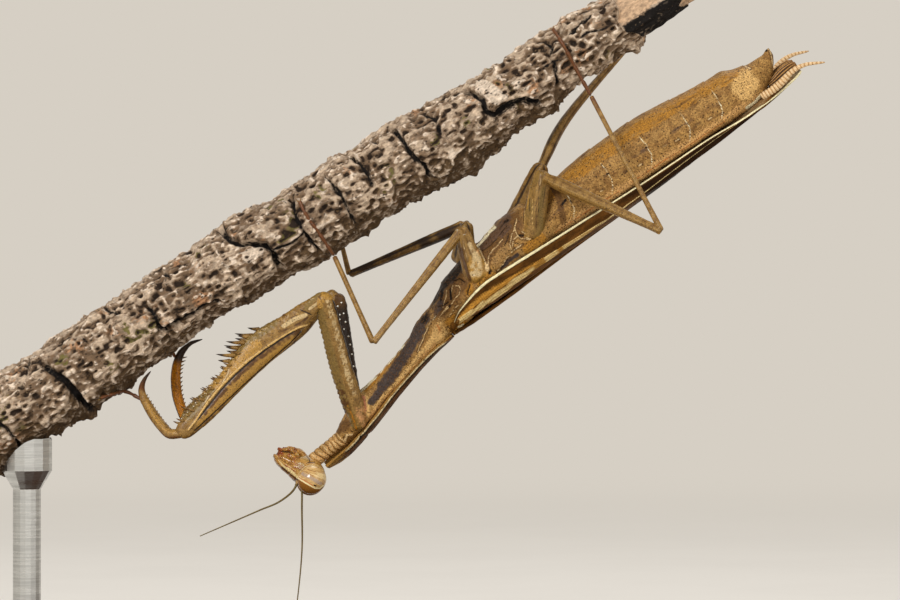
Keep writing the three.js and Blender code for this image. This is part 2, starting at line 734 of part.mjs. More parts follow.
// A front shin: curved, toothed along its inner edge, and drawn out into a claw.
function foreTibiaShape({ trochanter, knee, ankle, clawTip }) {
  const [k, a, c, t] = [knee, ankle, clawTip, trochanter].map((p) => new THREE.Vector3(...p));
  const inwards = t.clone().sub(k).normalize();
  const belly = k.clone().lerp(a, shinCurve.bellyAt).addScaledVector(inwards, shinCurve.bellyOut);
  const crook = a.clone().lerp(c, shinCurve.crookAt).addScaledVector(inwards, shinCurve.crookOut);
  const path = [k, belly, a, crook, c].map((p) => p.toArray());
  return (grow) => {
    let solid = limb(path, foreTibia, grow, { bend: inwards.toArray(), sides: 8 });
    if (grow > 0) return solid;
    const curve = new THREE.CatmullRomCurve3(path.map((p) => new THREE.Vector3(...p)));
    const { count, from, to, length, slant, radius } = shinTeeth;
    for (let i = 0; i < count; i++) {
      const share = lerp(from, to, i / (count - 1));
      const along = curve.getTangentAt(share);
      const out = inwards.clone().addScaledVector(along, -inwards.dot(along)).normalize();
      const [, depth] = tableAt(foreTibia, share);
      const root = curve.getPointAt(share).addScaledVector(out, depth - spine.rootDepth);
      const tip = root.clone().addScaledVector(out, length).addScaledVector(along, slant);
      solid = solid.add(spike(root, tip, radius));
    }
    return solid;
  };
}

// The four nodes of a leg. What each is cut by comes before it.
function addLeg(leg, sizes, root, colour) {
  const { hip, trochanter, bow, knee, ankle, toes, stoutness = 1 } = legPose[leg];
  const fore = leg.startsWith("fore");
  const names = ["coxa", "femur", "tibia", "tarsus"].map((segment) => `${leg}_${segment}`);
  const [coxa, femur, tibia, foot] = names;
  const outwards = new THREE.Vector3(...trochanter).sub(new THREE.Vector3(...hip)).toArray();
  const walking = { bend: outwards, sides: 8 };
  const coxaBend = { bend: [1, 0, 0], sides: 10 };
  const thigh = sizes.femur?.map(([share, depth, width, lift]) => [share, depth * stoutness, width, lift]);
  const femurShape = fore
    ? foreFemurShape(legPose[leg])
    : (grow) => limb([trochanter, bow, knee].filter(Boolean), thigh, grow, walking);
  const tibiaShape = fore
    ? foreTibiaShape(legPose[leg])
    : (grow) => limb([knee, ankle], walkingTibia, grow, walking);
  addPart(coxa, mantis, colour, (grow) => limb([hip, trochanter], sizes.coxa, grow, coxaBend), root);
  addPart(femur, mantis, colour, femurShape, [coxa]);
  addPart(tibia, mantis, fore ? colours.tibia : colour, tibiaShape, [femur, "branch"]);
  addPart(foot, mantis, colours.tarsus, tarsusShape(ankle, toes), [tibia, "branch"]);
}

const foreSizes = { coxa: foreCoxa };
const midSizes = { coxa: midCoxa, femur: midFemur };
const hindSizes = { coxa: hindCoxa, femur: hindFemur };
addLeg("fore_right", foreSizes, ["prothorax", "pronotum", "neck"], colours.leg);
addLeg("fore_left", foreSizes, ["prothorax", "pronotum", "neck"], colours.darkLeg);
addLeg("mid_right", midSizes, ["pterothorax"], colours.leg);
addLeg("mid_left", midSizes, ["pterothorax", "mid_right_coxa"], colours.darkLeg);
addLeg("hind_right", hindSizes, ["pterothorax"], colours.leg);
addLeg("hind_left", hindSizes, ["pterothorax", "hind_right_coxa"], colours.leg);

// ---- abdomen and wings --------------------------------------------------------------------------

const hindCoxae = ["hind_right_coxa", "hind_left_coxa"];
addPart("abdomen", hindBody, colours.abdomen, abdomenShape, ["pterothorax", ...hindCoxae]);
addPart("ovipositor", hindBody, colours.abdomen, bodyShape(ovipositorSections, hindBody), ["abdomen"]);

function cercusShape(side) {
  const places = cercusPath.map(([along, out, up]) => new THREE.Vector3(along, side * out, up));
  const points = places.map((place) => hindBody.localToWorld(place).toArray());
  return (grow) => {
    const table = [];
    for (let i = 0; i <= cercus.rings; i++) {
      const share = i / cercus.rings;
      const middle = lerp(cercus.rootRadius, cercus.tipRadius, share);
      const radius = middle * (i % 2 ? cercus.crest : cercus.furrow);
      table.push([share, radius, radius, 0]);
    }
    return limb(points, table, grow, { sides: 6 });
  };
}

// How far out the rib between roof and side strip runs. A low strip leans outwards more.
function ribOut(halfWidth, strip) {
  return halfWidth * tegmen.ribShare - tegmen.ribLean * Math.max(0, tegmen.thickness - strip);
}

// The height of the folded wings' roof at a distance across, seen as the outer face of the upper wing.
function roofHeight(along, across) {
  const [, halfWidth, edge, strip, crest] = tableAt(tegmenSections, along);
  const share = Math.min(Math.abs(across) / ribOut(halfWidth, strip), 1);
  return lerp(crest, edge - strip, share ** tegmen.roofPower);
}

// A front wing: the roof from past the middle to the rib, then a side strip down to its front edge.
// The left wing lies on the right one, which dips under it.
function tegmenShape(side) {
  const upper = side > 0;
  const past = upper ? tegmen.upperPast : tegmen.lowerPast;
  return (grow) => {
    const rings = tegmenStations.map((along, i) => {
      const [, halfWidth, edge, strip] = tableAt(tegmenSections, along);
      const rib = ribOut(halfWidth, strip);
      const taper = Math.min(halfWidth / tegmen.fullWidth, 1);
      const [dipStart, dipEnd] = tegmen.dipEnds.map((across) => across * taper);
      const curve = [];
      for (let k = 0; k <= tegmen.roofPoints; k++) {
        const across = lerp(-past * taper, rib, k / tegmen.roofPoints);
        const dip = upper ? 0 : wingLayer * taper * (1 - smoothstep(across, dipStart, dipEnd));
        curve.push([across, roofHeight(along, across) + dip]);
      }
      curve.push([halfWidth, edge]);
      const place = along + endShift(i, tegmenStations.length, grow);
      return plateRing(place, curve, tegmen.thickness, grow, side);
    });
    return loft(rings, hindBody);
  };
}

// A hind wing's folded tip.
function hindwingShape(side) {
  return (grow) => {
    const rings = hindwingSections.map(([along, ...sizes], i) => {
      const place = along + endShift(i, hindwingSections.length, grow);
      const ring = sectionRing([place, ...sizes], grow, 10, 2);
      return ring.map((point) => point.add(new THREE.Vector3(0, side * hindwingOut, 0)));
    });
    return loft(rings, hindBody);
  };
}

const trunk = ["pterothorax", "abdomen", "ovipositor"];
for (const [name, side] of bothSides)
  addPart(`cercus_${name}`, hindBody, colours.cercus, cercusShape(side), ["abdomen", "ovipositor"]);

const underWings = [...trunk, "cercus_right", "cercus_left", "pronotum", "prothorax"];
addPart("tegmen_left", hindBody, colours.tegmen, tegmenShape(1), underWings);
addPart("tegmen_right", hindBody, colours.tegmen, tegmenShape(-1), [...underWings, "tegmen_left"]);

const tegmina = ["tegmen_left", "tegmen_right"];
for (const [name, side] of bothSides)
  addPart(`hindwing_${name}`, hindBody, colours.hindwing, hindwingShape(side), [...underWings, ...tegmina]);

export default mantis;
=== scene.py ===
import math

import bmesh
import bpy
import numpy as np
from mathutils import Matrix, Vector


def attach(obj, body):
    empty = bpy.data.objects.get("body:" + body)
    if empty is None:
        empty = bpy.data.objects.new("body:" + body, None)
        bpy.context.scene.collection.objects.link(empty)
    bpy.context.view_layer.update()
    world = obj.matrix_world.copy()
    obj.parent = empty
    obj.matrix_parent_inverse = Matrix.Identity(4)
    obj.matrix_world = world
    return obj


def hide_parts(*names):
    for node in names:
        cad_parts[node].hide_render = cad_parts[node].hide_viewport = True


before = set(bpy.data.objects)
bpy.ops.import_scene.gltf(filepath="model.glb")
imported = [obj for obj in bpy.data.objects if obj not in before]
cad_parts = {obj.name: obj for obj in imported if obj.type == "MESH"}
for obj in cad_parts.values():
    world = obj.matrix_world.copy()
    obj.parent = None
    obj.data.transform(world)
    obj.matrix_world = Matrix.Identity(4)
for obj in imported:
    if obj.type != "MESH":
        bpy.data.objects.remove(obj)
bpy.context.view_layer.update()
mm = 0.001
bodyRoll = 15
rollOfBody = math.radians(bodyRoll)
hindSlope, foreSlope, branchSlope = 34, 47, 32.7  # degrees, with the tail end and the bare end up
hindStart = (4.3, 42.6)  # where the hind body begins, seen from the side
viewpoint = (4.3, -450, 44.73)  # the camera looks along +Y from here


# Small tools. Sizes are in millimetres until gridPiece turns them into metres.

def frameMatrix(position, pitch=0, yaw=0, roll=0):
    turn = Matrix.Rotation(math.radians(-pitch), 4, "Y") @ Matrix.Rotation(math.radians(yaw), 4, "Z")
    return np.array(Matrix.Translation(Vector(position)) @ turn @ Matrix.Rotation(math.radians(roll), 4, "X"))


# Of both bodies X is tailwards, Y to the animal's left and Z to the belly.
hindBody = frameMatrix((hindStart[0], 0, hindStart[1]), hindSlope, 0, bodyRoll)
foreBody = frameMatrix((4.3, 0, 42.04), foreSlope, -5, bodyRoll)
headFrame = frameMatrix((-11.5, 1.5, 26.24), -38.7, 0, -6)  # X to the crown, Y left, Z to the rear
perch = frameMatrix((-8.4, -2, 54.6), branchSlope)  # X up along the branch


def placed(matrix, points):
    return points @ matrix[:3, :3].T + matrix[:3, 3]


def smoothAt(table, at):  # a table's columns at any places, on a curve that never overshoots
    table = np.array(table, float)
    x = table[:, 0]
    at = np.clip(np.asarray(at, float).ravel(), x[0], x[-1])
    slope = np.diff(table, axis=0) / np.diff(x)[:, None]
    product = slope[:-1] * slope[1:]
    total = slope[:-1] + slope[1:]
    inner = np.where(product > 0, 2 * product / np.where(product > 0, total, 1), 0)
    tangent = np.vstack([slope[:1], inner, slope[-1:]])
    i = np.clip(np.searchsorted(x, at) - 1, 0, len(x) - 2)
    h = (x[i + 1] - x[i])[:, None]
    s = (at - x[i])[:, None] / h
    start, end = table[i], table[i + 1]
    rise = (2 * s**3 - 3 * s**2 + 1) * start + (3 * s**2 - 2 * s**3) * end
    return rise + (s**3 - 2 * s**2 + s) * h * tangent[i] + (s**3 - s**2) * h * tangent[i + 1]


def pathThrough(points, count):  # a smooth curve through the points, in equal steps
    p = np.array(points, float)
    p = np.vstack([2 * p[0] - p[1], p, 2 * p[-1] - p[-2]])
    knots = np.concatenate([[0], np.cumsum(np.sqrt(np.linalg.norm(np.diff(p, axis=0), axis=1)))])
    step = np.diff(knots)[:, None]
    run = np.diff(p, axis=0) / step
    tangent = run[:-1] + run[1:] - (p[2:] - p[:-2]) / (step[:-1] + step[1:])
    curve = []
    for k in range(len(p) - 3):
        s = np.linspace(0, 1, 40)[:, None]
        h = step[k + 1]
        a, b = p[k + 1], p[k + 2]
        curve.append((2 * s**3 - 3 * s**2 + 1) * a + (s**3 - 2 * s**2 + s) * h * tangent[k]
                     + (3 * s**2 - 2 * s**3) * b + (s**3 - s**2) * h * tangent[k + 1])
    curve = np.vstack(curve)
    length = np.concatenate([[0], np.cumsum(np.linalg.norm(np.diff(curve, axis=0), axis=1))])
    even = np.linspace(0, length[-1], count)
    return np.stack([np.interp(even, length, curve[:, k]) for k in range(3)], axis=1)


def grain(points, size, seed=0):  # smooth random values from -1 to 1, with features of that size
    p = points / size + 31.7 * seed + 500
    cell = np.floor(p).astype(np.int64)
    f = p - cell
    f = f * f * (3 - 2 * f)
    result = 0
    for dx in (0, 1):
        for dy in (0, 1):
            for dz in (0, 1):
                n = (cell[..., 0] + dx) * 73856093 ^ (cell[..., 1] + dy) * 19349663
                n = n ^ (cell[..., 2] + dz) * 83492791
                n = (n ^ (n >> 13)) * 1274126177
                value = ((n ^ (n >> 16)) & 0xFFFF) / 32767.5 - 1
                weight = (f[..., 0] if dx else 1 - f[..., 0]) * (f[..., 1] if dy else 1 - f[..., 1])
                result = result + value * weight * (f[..., 2] if dz else 1 - f[..., 2])
    return result


def window(x, low, high, soft=0.2):
    return np.clip((x - low) / soft + 0.5, 0, 1) * np.clip((high - x) / soft + 0.5, 0, 1)


def nearLine(u, v, line):  # the distance from each place to a bent line
    best = np.full(np.shape(u), 1e9)
    for (au, av), (bu, bv) in zip(line, line[1:]):
        du, dv = bu - au, bv - av
        share = np.clip(((u - au) * du + (v - av) * dv) / (du * du + dv * dv), 0, 1)
        best = np.minimum(best, np.hypot(u - au - share * du, v - av - share * dv))
    return best


def stroke(u, v, width, *lines, soft=0.14):  # 1 on a painted line, 0 beside it
    best = np.min([nearLine(u, v, line) for line in lines], axis=0)
    return np.clip((width / 2 + soft / 2 - best) / soft, 0, 1)


def seen(points, origin, degrees):  # places in the side view, along and across a line at that slope
    x, y, z = viewpoint
    scale = -y / (points[..., 1] - y)
    dx = (points[..., 0] - x) * scale + x - origin[0]
    dz = (points[..., 2] - z) * scale + z - origin[1]
    c, s = math.cos(math.radians(degrees)), math.sin(math.radians(degrees))
    return dx * c + dz * s, dz * c - dx * s


def seenFrom(matrix, points, degrees):  # both sides of a body in its side view, with a slight waver
    near = np.stack([points[..., 0], -np.abs(points[..., 1]), points[..., 2]], -1)
    u, v = seen(placed(matrix, near), (matrix[0, 3], matrix[2, 3]), degrees)
    return u + 0.05 * grain(near, 0.45, 61), v + 0.05 * grain(near, 0.45, 62)


def gridPiece(name, points, marks=None):  # a piece from rows of points, each row one ring round it
    rows, columns = points.shape[:2]
    bpy.ops.object.select_all(action="DESELECT")
    bpy.ops.mesh.primitive_grid_add(x_subdivisions=columns - 1, y_subdivisions=rows - 1, size=1)
    piece = bpy.context.object
    piece.name = piece.data.name = name
    mesh = piece.data
    flat = np.zeros(3 * len(mesh.vertices))
    mesh.vertices.foreach_get("co", flat)
    flat = flat.reshape(-1, 3)
    column = np.rint((flat[:, 0] + 0.5) * (columns - 1)).astype(int)
    row = np.rint((flat[:, 1] + 0.5) * (rows - 1)).astype(int)
    mesh.vertices.foreach_set("co", (points[row, column] * mm).ravel())
    for key, values in (marks or {}).items():
        values = np.broadcast_to(values, points.shape[:2])
        layer = mesh.attributes.new(key, "FLOAT", "POINT")
        layer.data.foreach_set("value", values[row, column].astype(np.float32))
    bpy.ops.object.mode_set(mode="EDIT")
    bpy.ops.mesh.select_all(action="SELECT")
    bpy.ops.mesh.remove_doubles(threshold=2e-6)
    bpy.ops.mesh.normals_make_consistent(inside=False)
    bpy.ops.object.mode_set(mode="OBJECT")
    shell = bmesh.new()
    shell.from_mesh(mesh)
    if shell.calc_volume(signed=True) < 0:  # a thin folded shell can come out inside out
        mesh.flip_normals()
    shell.free()
    bpy.ops.object.shade_smooth()
    return piece


def closedRings(rings):  # closes each ring on itself and both ends on a point
    rings = np.concatenate([rings, rings[:, :1]], axis=1)
    ends = [np.broadcast_to(end.mean(axis=0), end.shape) for end in (rings[0, :-1], rings[-1, :-1])]
    ends = [np.concatenate([end, end[:1]]) for end in ends]
    return np.concatenate([ends[0][None], rings, ends[1][None]])


def closedMarks(marks):
    done = {}
    for key, values in marks.items():
        values = np.concatenate([values, values[:, :1]], axis=1)
        done[key] = np.concatenate([values[:1], values, values[-1:]])
    return done


def joined(name, pieces):
    bpy.ops.object.select_all(action="DESELECT")
    for piece in pieces:
        piece.select_set(True)
    bpy.context.view_layer.objects.active = pieces[0]
    bpy.ops.object.join()
    pieces[0].name = pieces[0].data.name = name
    return pieces[0]


def settle(piece, material, slotName, *nodes):  # its finish, a slot name that is not used, and the nodes that it stands for
    piece.data.materials.clear()
    piece.data.materials.append(material)
    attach(piece, "root")
    if nodes:
        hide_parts(*nodes)


# Finishes.

def linear(colour):
    parts = [int(colour[k:k + 2], 16) / 255 for k in (1, 3, 5)]
    return [c / 12.92 if c <= 0.04045 else ((c + 0.055) / 1.055) ** 2.4 for c in parts] + [1]


def addNode(tree, kind, inputs=None, **settings):
    made = tree.nodes.new("ShaderNode" + kind)
    for key, value in settings.items():
        setattr(made, key, value)
    for key, value in (inputs or {}).items():
        if isinstance(value, bpy.types.NodeSocket):
            tree.links.new(value, made.inputs[key])
        else:
            made.inputs[key].default_value = value
    return made


# Cuticle, bark, wood and metal share this build: a base with blotches and specks, painted marks, and a grain.
def surface(name, look):
    made = bpy.data.materials.new(name)
    made.use_nodes = True
    tree = made.node_tree
    tree.nodes.clear()
    place = addNode(tree, "TexCoord").outputs["Object"]
    place = addNode(tree, "Mapping",
                    {0: place, 2: look.get("turn", (0, 0, 0)), 3: (1000, 1000, 1000)}).outputs[0]
    along = addNode(tree, "Mapping", {0: place, 3: look.get("stretch", (1, 1, 1))}).outputs[0]
    blotch = addNode(tree, "TexNoise", {0: along, 2: 1 / look["blotchSize"], 3: 4.0, 4: 0.62}).outputs[0]
    fine = addNode(tree, "TexNoise", {0: along, 2: 1 / look["grainSize"], 3: 3.0, 4: 0.6}).outputs[0]
    low, high = look.get("blotchRange", (0.4, 0.62))
    spread = addNode(tree, "MapRange", {0: blotch, 1: low, 2: high}, interpolation_type="SMOOTHSTEP").outputs[0]
    colour = addNode(tree, "Mix", {0: spread, 6: linear(look["base"]), 7: linear(look["blotch"])},
                     data_type="RGBA").outputs[2]
    shade = look.get("shade", 0.25)
    tone = addNode(tree, "MapRange", {0: fine, 1: 0.3, 2: 0.7, 3: 1 - shade, 4: 1 + shade * 0.6}).outputs[0]
    fray = look.get("fray", 0.5)
    edge = addNode(tree, "Math", {0: fine, 1: blotch}, operation="ADD").outputs[0]
    edge = addNode(tree, "MapRange", {0: edge, 1: 0.7, 2: 1.3, 3: -fray / 2, 4: fray / 2}).outputs[0]
    for mark, paint in look.get("marks", {}).items():
        mask = addNode(tree, "Attribute", attribute_name=mark).outputs["Fac"]
        amount = 0.3 if mark in look.get("crisp", ()) else 1.0
        weighed = addNode(tree, "Math", {0: edge, 1: amount, 2: mask}, operation="MULTIPLY_ADD").outputs[0]
        mask = addNode(tree, "MapRange", {0: weighed, 1: 0.3, 2: 0.85},
                       interpolation_type="SMOOTHSTEP").outputs[0]
        colour = addNode(tree, "Mix", {0: mask, 6: colour, 7: linear(paint)}, data_type="RGBA").outputs[2]
    for paint, size, radius, amount in look.get("specks", ()):
        cells = addNode(tree, "TexVoronoi", {0: along, 2: 1 / size, 8: 1.0}).outputs[0]
        dots = addNode(tree, "MapRange", {0: cells, 1: radius, 2: radius * 0.6}).outputs[0]
        some = addNode(tree, "MapRange",
                       {0: blotch, 1: 0.62 - 0.3 * amount, 2: 0.72 - 0.3 * amount, 4: 0.85}).outputs[0]
        dots = addNode(tree, "Math", {0: dots, 1: some}, operation="MULTIPLY").outputs[0]
        clear = addNode(tree, "Attribute", attribute_name="clear").outputs["Fac"]
        dots = addNode(tree, "Math", {0: dots, 1: clear}, operation="SUBTRACT", use_clamp=True).outputs[0]
        colour = addNode(tree, "Mix", {0: dots, 6: colour, 7: linear(paint)}, data_type="RGBA").outputs[2]
    colour = addNode(tree, "Mix", {0: 1.0, 6: colour, 7: tone}, data_type="RGBA",
                     blend_type="MULTIPLY").outputs[2]
    rough = look["roughness"]
    gloss = addNode(tree, "MapRange", {0: blotch, 1: 0.3, 2: 0.7, 3: rough - 0.08, 4: rough + 0.1}).outputs[0]
    height = fine
    if "facetSize" in look:
        height = addNode(tree, "TexVoronoi", {0: place, 2: 1 / look["facetSize"], 8: 0.3}).outputs[0]
    bump = addNode(tree, "Bump", {0: look["bump"], 1: look.get("bumpDepth", 0.00006), 3: height}).outputs[0]
    shader = addNode(tree, "BsdfPrincipled", {"Base Color": colour, "Roughness": gloss, "Normal": bump,
                                              "Metallic": look.get("metallic", 0.0)})
    shader.inputs["IOR"].default_value = 1.5
    shader.inputs["Coat Weight"].default_value = look.get("coat", 0.0)
    shader.inputs["Coat Roughness"].default_value = look.get("coatRoughness", 0.15)
    shader.inputs["Specular IOR Level"].default_value = look.get("specular", 0.35)
    if "dull" in look:
        mask = addNode(tree, "Attribute", attribute_name=look["dull"]).outputs["Fac"]
        for socket in ("Coat Weight", "Specular IOR Level"):
            full = shader.inputs[socket].default_value
            dulled = addNode(tree, "MapRange", {0: mask, 3: full, 4: 0.1 * full}).outputs[0]
            tree.links.new(dulled, shader.inputs[socket])
    output = addNode(tree, "OutputMaterial")
    tree.links.new(shader.outputs[0], output.inputs[0])
    return made


# Camera, floor and light.

bpy.ops.object.camera_add(location=[value * mm for value in viewpoint], rotation=(math.pi / 2, 0, 0))
camera = bpy.context.object
camera.data.lens = 167.4
camera.data.sensor_width = 36
camera.data.clip_start = 0.02
bpy.context.scene.camera = camera
bpy.context.scene.view_settings.view_transform = "Standard"

studio = {
    "floorColour": "#E8E3DB", "farColour": "#D6CFC4",
    "floorHalf": 4, "fadeFrom": 0.18, "fadeTo": 0.6,
    # lamps: place in metres, width, watts
    "key": ((-0.38, -0.65, 0.49), 0.27, 5.3), "fill": ((0.4, -0.55, 0.13), 0.5, 1.35),
    "top": ((0.08, 0.2, 0.5), 0.4, 0.8),
    "aim": (0, 0, 0.045), "world": 0.5, "worldColour": "#F4F1EC",
}
steps = np.linspace(-1, 1, 81)
steps = np.sign(steps) * np.abs(steps) ** 2.5 * studio["floorHalf"]
sheet = np.array([[(x, y, 0) for x in steps] for y in steps])
away = (np.hypot(sheet[..., 0], sheet[..., 1]) - studio["fadeFrom"]) / (studio["fadeTo"] - studio["fadeFrom"])
backdrop = gridPiece("studioFloor", sheet / mm, {"far": np.clip(away, 0, 1)})
backdropPaper = surface("seamless matt paper", {  # unbroken and matt, with a barely seen fibre
    "base": studio["floorColour"], "blotch": "#E6E1D9", "blotchSize": 60, "grainSize": 2.0, "shade": 0.0,
    "roughness": 0.9, "bump": 0.02, "specular": 0.1})
backdrop.data.materials.append(backdropPaper)


def seenDirectly(tree):  # 1 for what the camera sees, also in metal and through glass
    path = addNode(tree, "LightPath").outputs
    total = addNode(tree, "Math", {0: path["Is Camera Ray"], 1: path["Is Glossy Ray"]},
                    operation="ADD").outputs[0]
    return addNode(tree, "Math", {0: total, 1: path["Is Transmission Ray"]}, operation="ADD",
                   use_clamp=True).outputs[0]


# The paper runs out into the same even tone as the world behind it, so that no horizon shows from any side.
tree = backdropPaper.node_tree
paper = next(node for node in tree.nodes if node.bl_idname == "ShaderNodeBsdfPrincipled")
end = next(node for node in tree.nodes if node.bl_idname == "ShaderNodeOutputMaterial")
far = addNode(tree, "MapRange", {0: addNode(tree, "Attribute", attribute_name="far").outputs["Fac"]},
              interpolation_type="SMOOTHSTEP").outputs[0]
fade = addNode(tree, "Math", {0: far, 1: seenDirectly(tree)}, operation="MULTIPLY").outputs[0]
glow = addNode(tree, "Emission", {0: linear(studio["farColour"]), 1: 1}).outputs[0]
tree.links.new(addNode(tree, "MixShader", {0: fade, 1: paper.outputs[0], 2: glow}).outputs[0], end.inputs[0])

for lamp in ("key", "fill", "top"):
    spot, size, power = studio[lamp]
    bpy.ops.object.light_add(type="AREA", location=spot)
    light = bpy.context.object
    light.name = lamp + "Light"
    light.data.size = size
    light.data.energy = power
    light.rotation_euler = (Vector(studio["aim"]) - Vector(spot)).to_track_quat("-Z", "Y").to_euler()
world = bpy.data.worlds.new("studio")
bpy.context.scene.world = world
world.use_nodes = True
tree = world.node_tree
soft = tree.nodes["Background"]
soft.inputs[0].default_value = linear(studio["worldColour"])
soft.inputs[1].default_value = studio["world"]
behind = addNode(tree, "Background", {0: linear(studio["farColour"]), 1: 1}).outputs[0]
mixed = addNode(tree, "MixShader", {0: seenDirectly(tree), 1: soft.outputs[0], 2: behind}).outputs[0]
tree.links.new(mixed, tree.nodes["World Output"].inputs[0])
print("studio ready")


# The branch.

barkRadii = [  # along, radius above, radius below
    (-48, 4.1, 4.3), (-40, 4.1, 4.4), (-33.5, 4.15, 4.4), (-28, 4.2, 4.4), (-24, 4.2, 3.6), (-18, 4.2, 3.1),
    (-9, 4.7, 3.6), (-4, 4.2, 4.1), (1, 4.2, 4.2), (9, 4.1, 4.0), (13, 3.7, 4.7), (16, 3.5, 4.5),
    (20, 3.6, 3.7), (25, 3.5, 3.9), (31, 3.5, 3.1), (37.5, 3.2, 3.1)]
# Cracks between the plates: width, depth, then places along the branch and above its middle. Their near-black
# colour is partly painted shade, and the wide one from 20.5 to 24.5 under the branch is a painted shadow.
barkCracks = [
    (0.4, 0.9, (-42.3, 0.2), (-41.6, -1.5), (-41.5, -3), (-41.9, -4.2)),
    (0.75, 1.4, (-34.6, 2.3), (-34.2, 1), (-33.6, -0.5), (-33.5, -2), (-33.2, -4.1)),
    (0.16, 0.3, (-32.5, 3.2), (-31, 3.6), (-29.7, 2.7), (-29.4, 1.5), (-29.8, 0.6), (-31, 0.5)),
    (0.25, 0.4, (-35.5, 4), (-36.5, 2.8), (-36.9, 2.3)),
    (0.18, 0.4, (-26.1, 4.1), (-26, 3.6), (-25.2, 2.8)),
    (0.5, 1.1, (-22.1, 2), (-21.9, 0.5), (-22.2, -1.2), (-21.6, -2.2)),
    (0.6, 0.9, (-21.5, -1.6), (-19.5, -1.9), (-17.5, -2.2), (-15.5, -2.6)),
    (0.3, 0.6, (-18.9, 4), (-18.4, 3), (-19.2, 2.8)),
    (0.6, 1.3, (-11.3, 4.2), (-10.9, 3), (-10.2, 2), (-9, 1.2), (-8, 0.4), (-7.7, -1), (-8, -2.5),
     (-7.9, -3.2)),
    (0.4, 0.7, (-7.5, -0.6), (-6, -1), (-4.8, -1.1), (-3.9, -0.8)),
    (0.45, 1.0, (-3.1, 3), (-3.6, 1.5), (-3.8, 0), (-3.7, -1.5), (-3.5, -3.3)),
    (0.35, 0.8, (1.2, 3.2), (1.5, 2), (1.6, 0), (1.4, -1.5), (1.3, -3)),
    (0.35, 0.8, (4.5, 3.6), (5.1, 2.4), (5.2, 1), (5, -0.4)),
    (0.22, 0.4, (7.3, 4), (7.9, 3)),
    (0.45, 0.9, (10.1, 3.6), (10.3, 2), (10.2, 0.8), (10.4, -0.6), (10.9, -2), (10.6, -3)),
    (0.35, 0.7, (13.6, 3.5), (14.3, 2.6), (14.3, 1.3), (14, 0.2)),
    (0.55, 1.1, (18.6, 3.2), (19.3, 2.2), (19.7, 1), (19.4, -0.6), (20, -1.6), (21.5, -1.3)),
    (0.9, 1.0, (20.5, -1.5), (22, -1.3), (23.5, -1.8), (24.5, -2.8)),
    (0.4, 0.9, (28.8, 3), (29, 2.2), (28.2, 1.2), (28.3, 0), (27.9, -1.2), (27.4, -2.6)),
    (0.2, 0.4, (27, 0.2), (28.3, 0.4), (29.3, -0.2)),
    (0.22, 0.4, (31, 2.3), (33, 2.6), (35, 2.8), (37, 2.9)),
    (0.22, 0.4, (31, 0.9), (33, 1.2), (34.5, 0.4), (36, 0.2)),
    (0.5, 0.8, (36.9, 0.9), (37, 0), (36.9, -1.2), (37.3, -2.3))]
barkLook = {
    "rows": 560, "sides": 168, "barkEnd": 37.2, "woodRadius": 2.35,
    "meanRadius": 4.1, "crackRadius": 4.2,  # for places round the branch, and for the heights in barkCracks
    "lumps": 0.26, "crust": 0.24, "plates": 0.2, "farShift": 11.0,
    # knobs: place along, degrees round, length, width, height
    "knobs": [(-33.4, 172, 1.1, 0.9, 0.8), (-17.5, 174, 0.6, 0.6, 0.4), (12.7, 172, 0.7, 0.9, 0.45),
              (19.4, 174, 0.7, 0.9, 0.5), (25.9, 172, 0.8, 0.9, 0.65), (36.3, 170, 0.9, 0.9, 0.5),
              (-12.5, 174, 0.7, 0.7, 0.45), (-41.5, 172, 0.8, 0.9, 0.5), (-28, 174, 0.5, 0.6, 0.35),
              (3, 174, 0.6, 0.7, 0.4), (-37.5, 174, 0.5, 0.7, 0.35), (14, 6, 1.3, 0.8, 0.3),
              (-24, 4, 0.9, 0.8, 0.3), (29, 4, 0.8, 0.8, 0.3)],
}


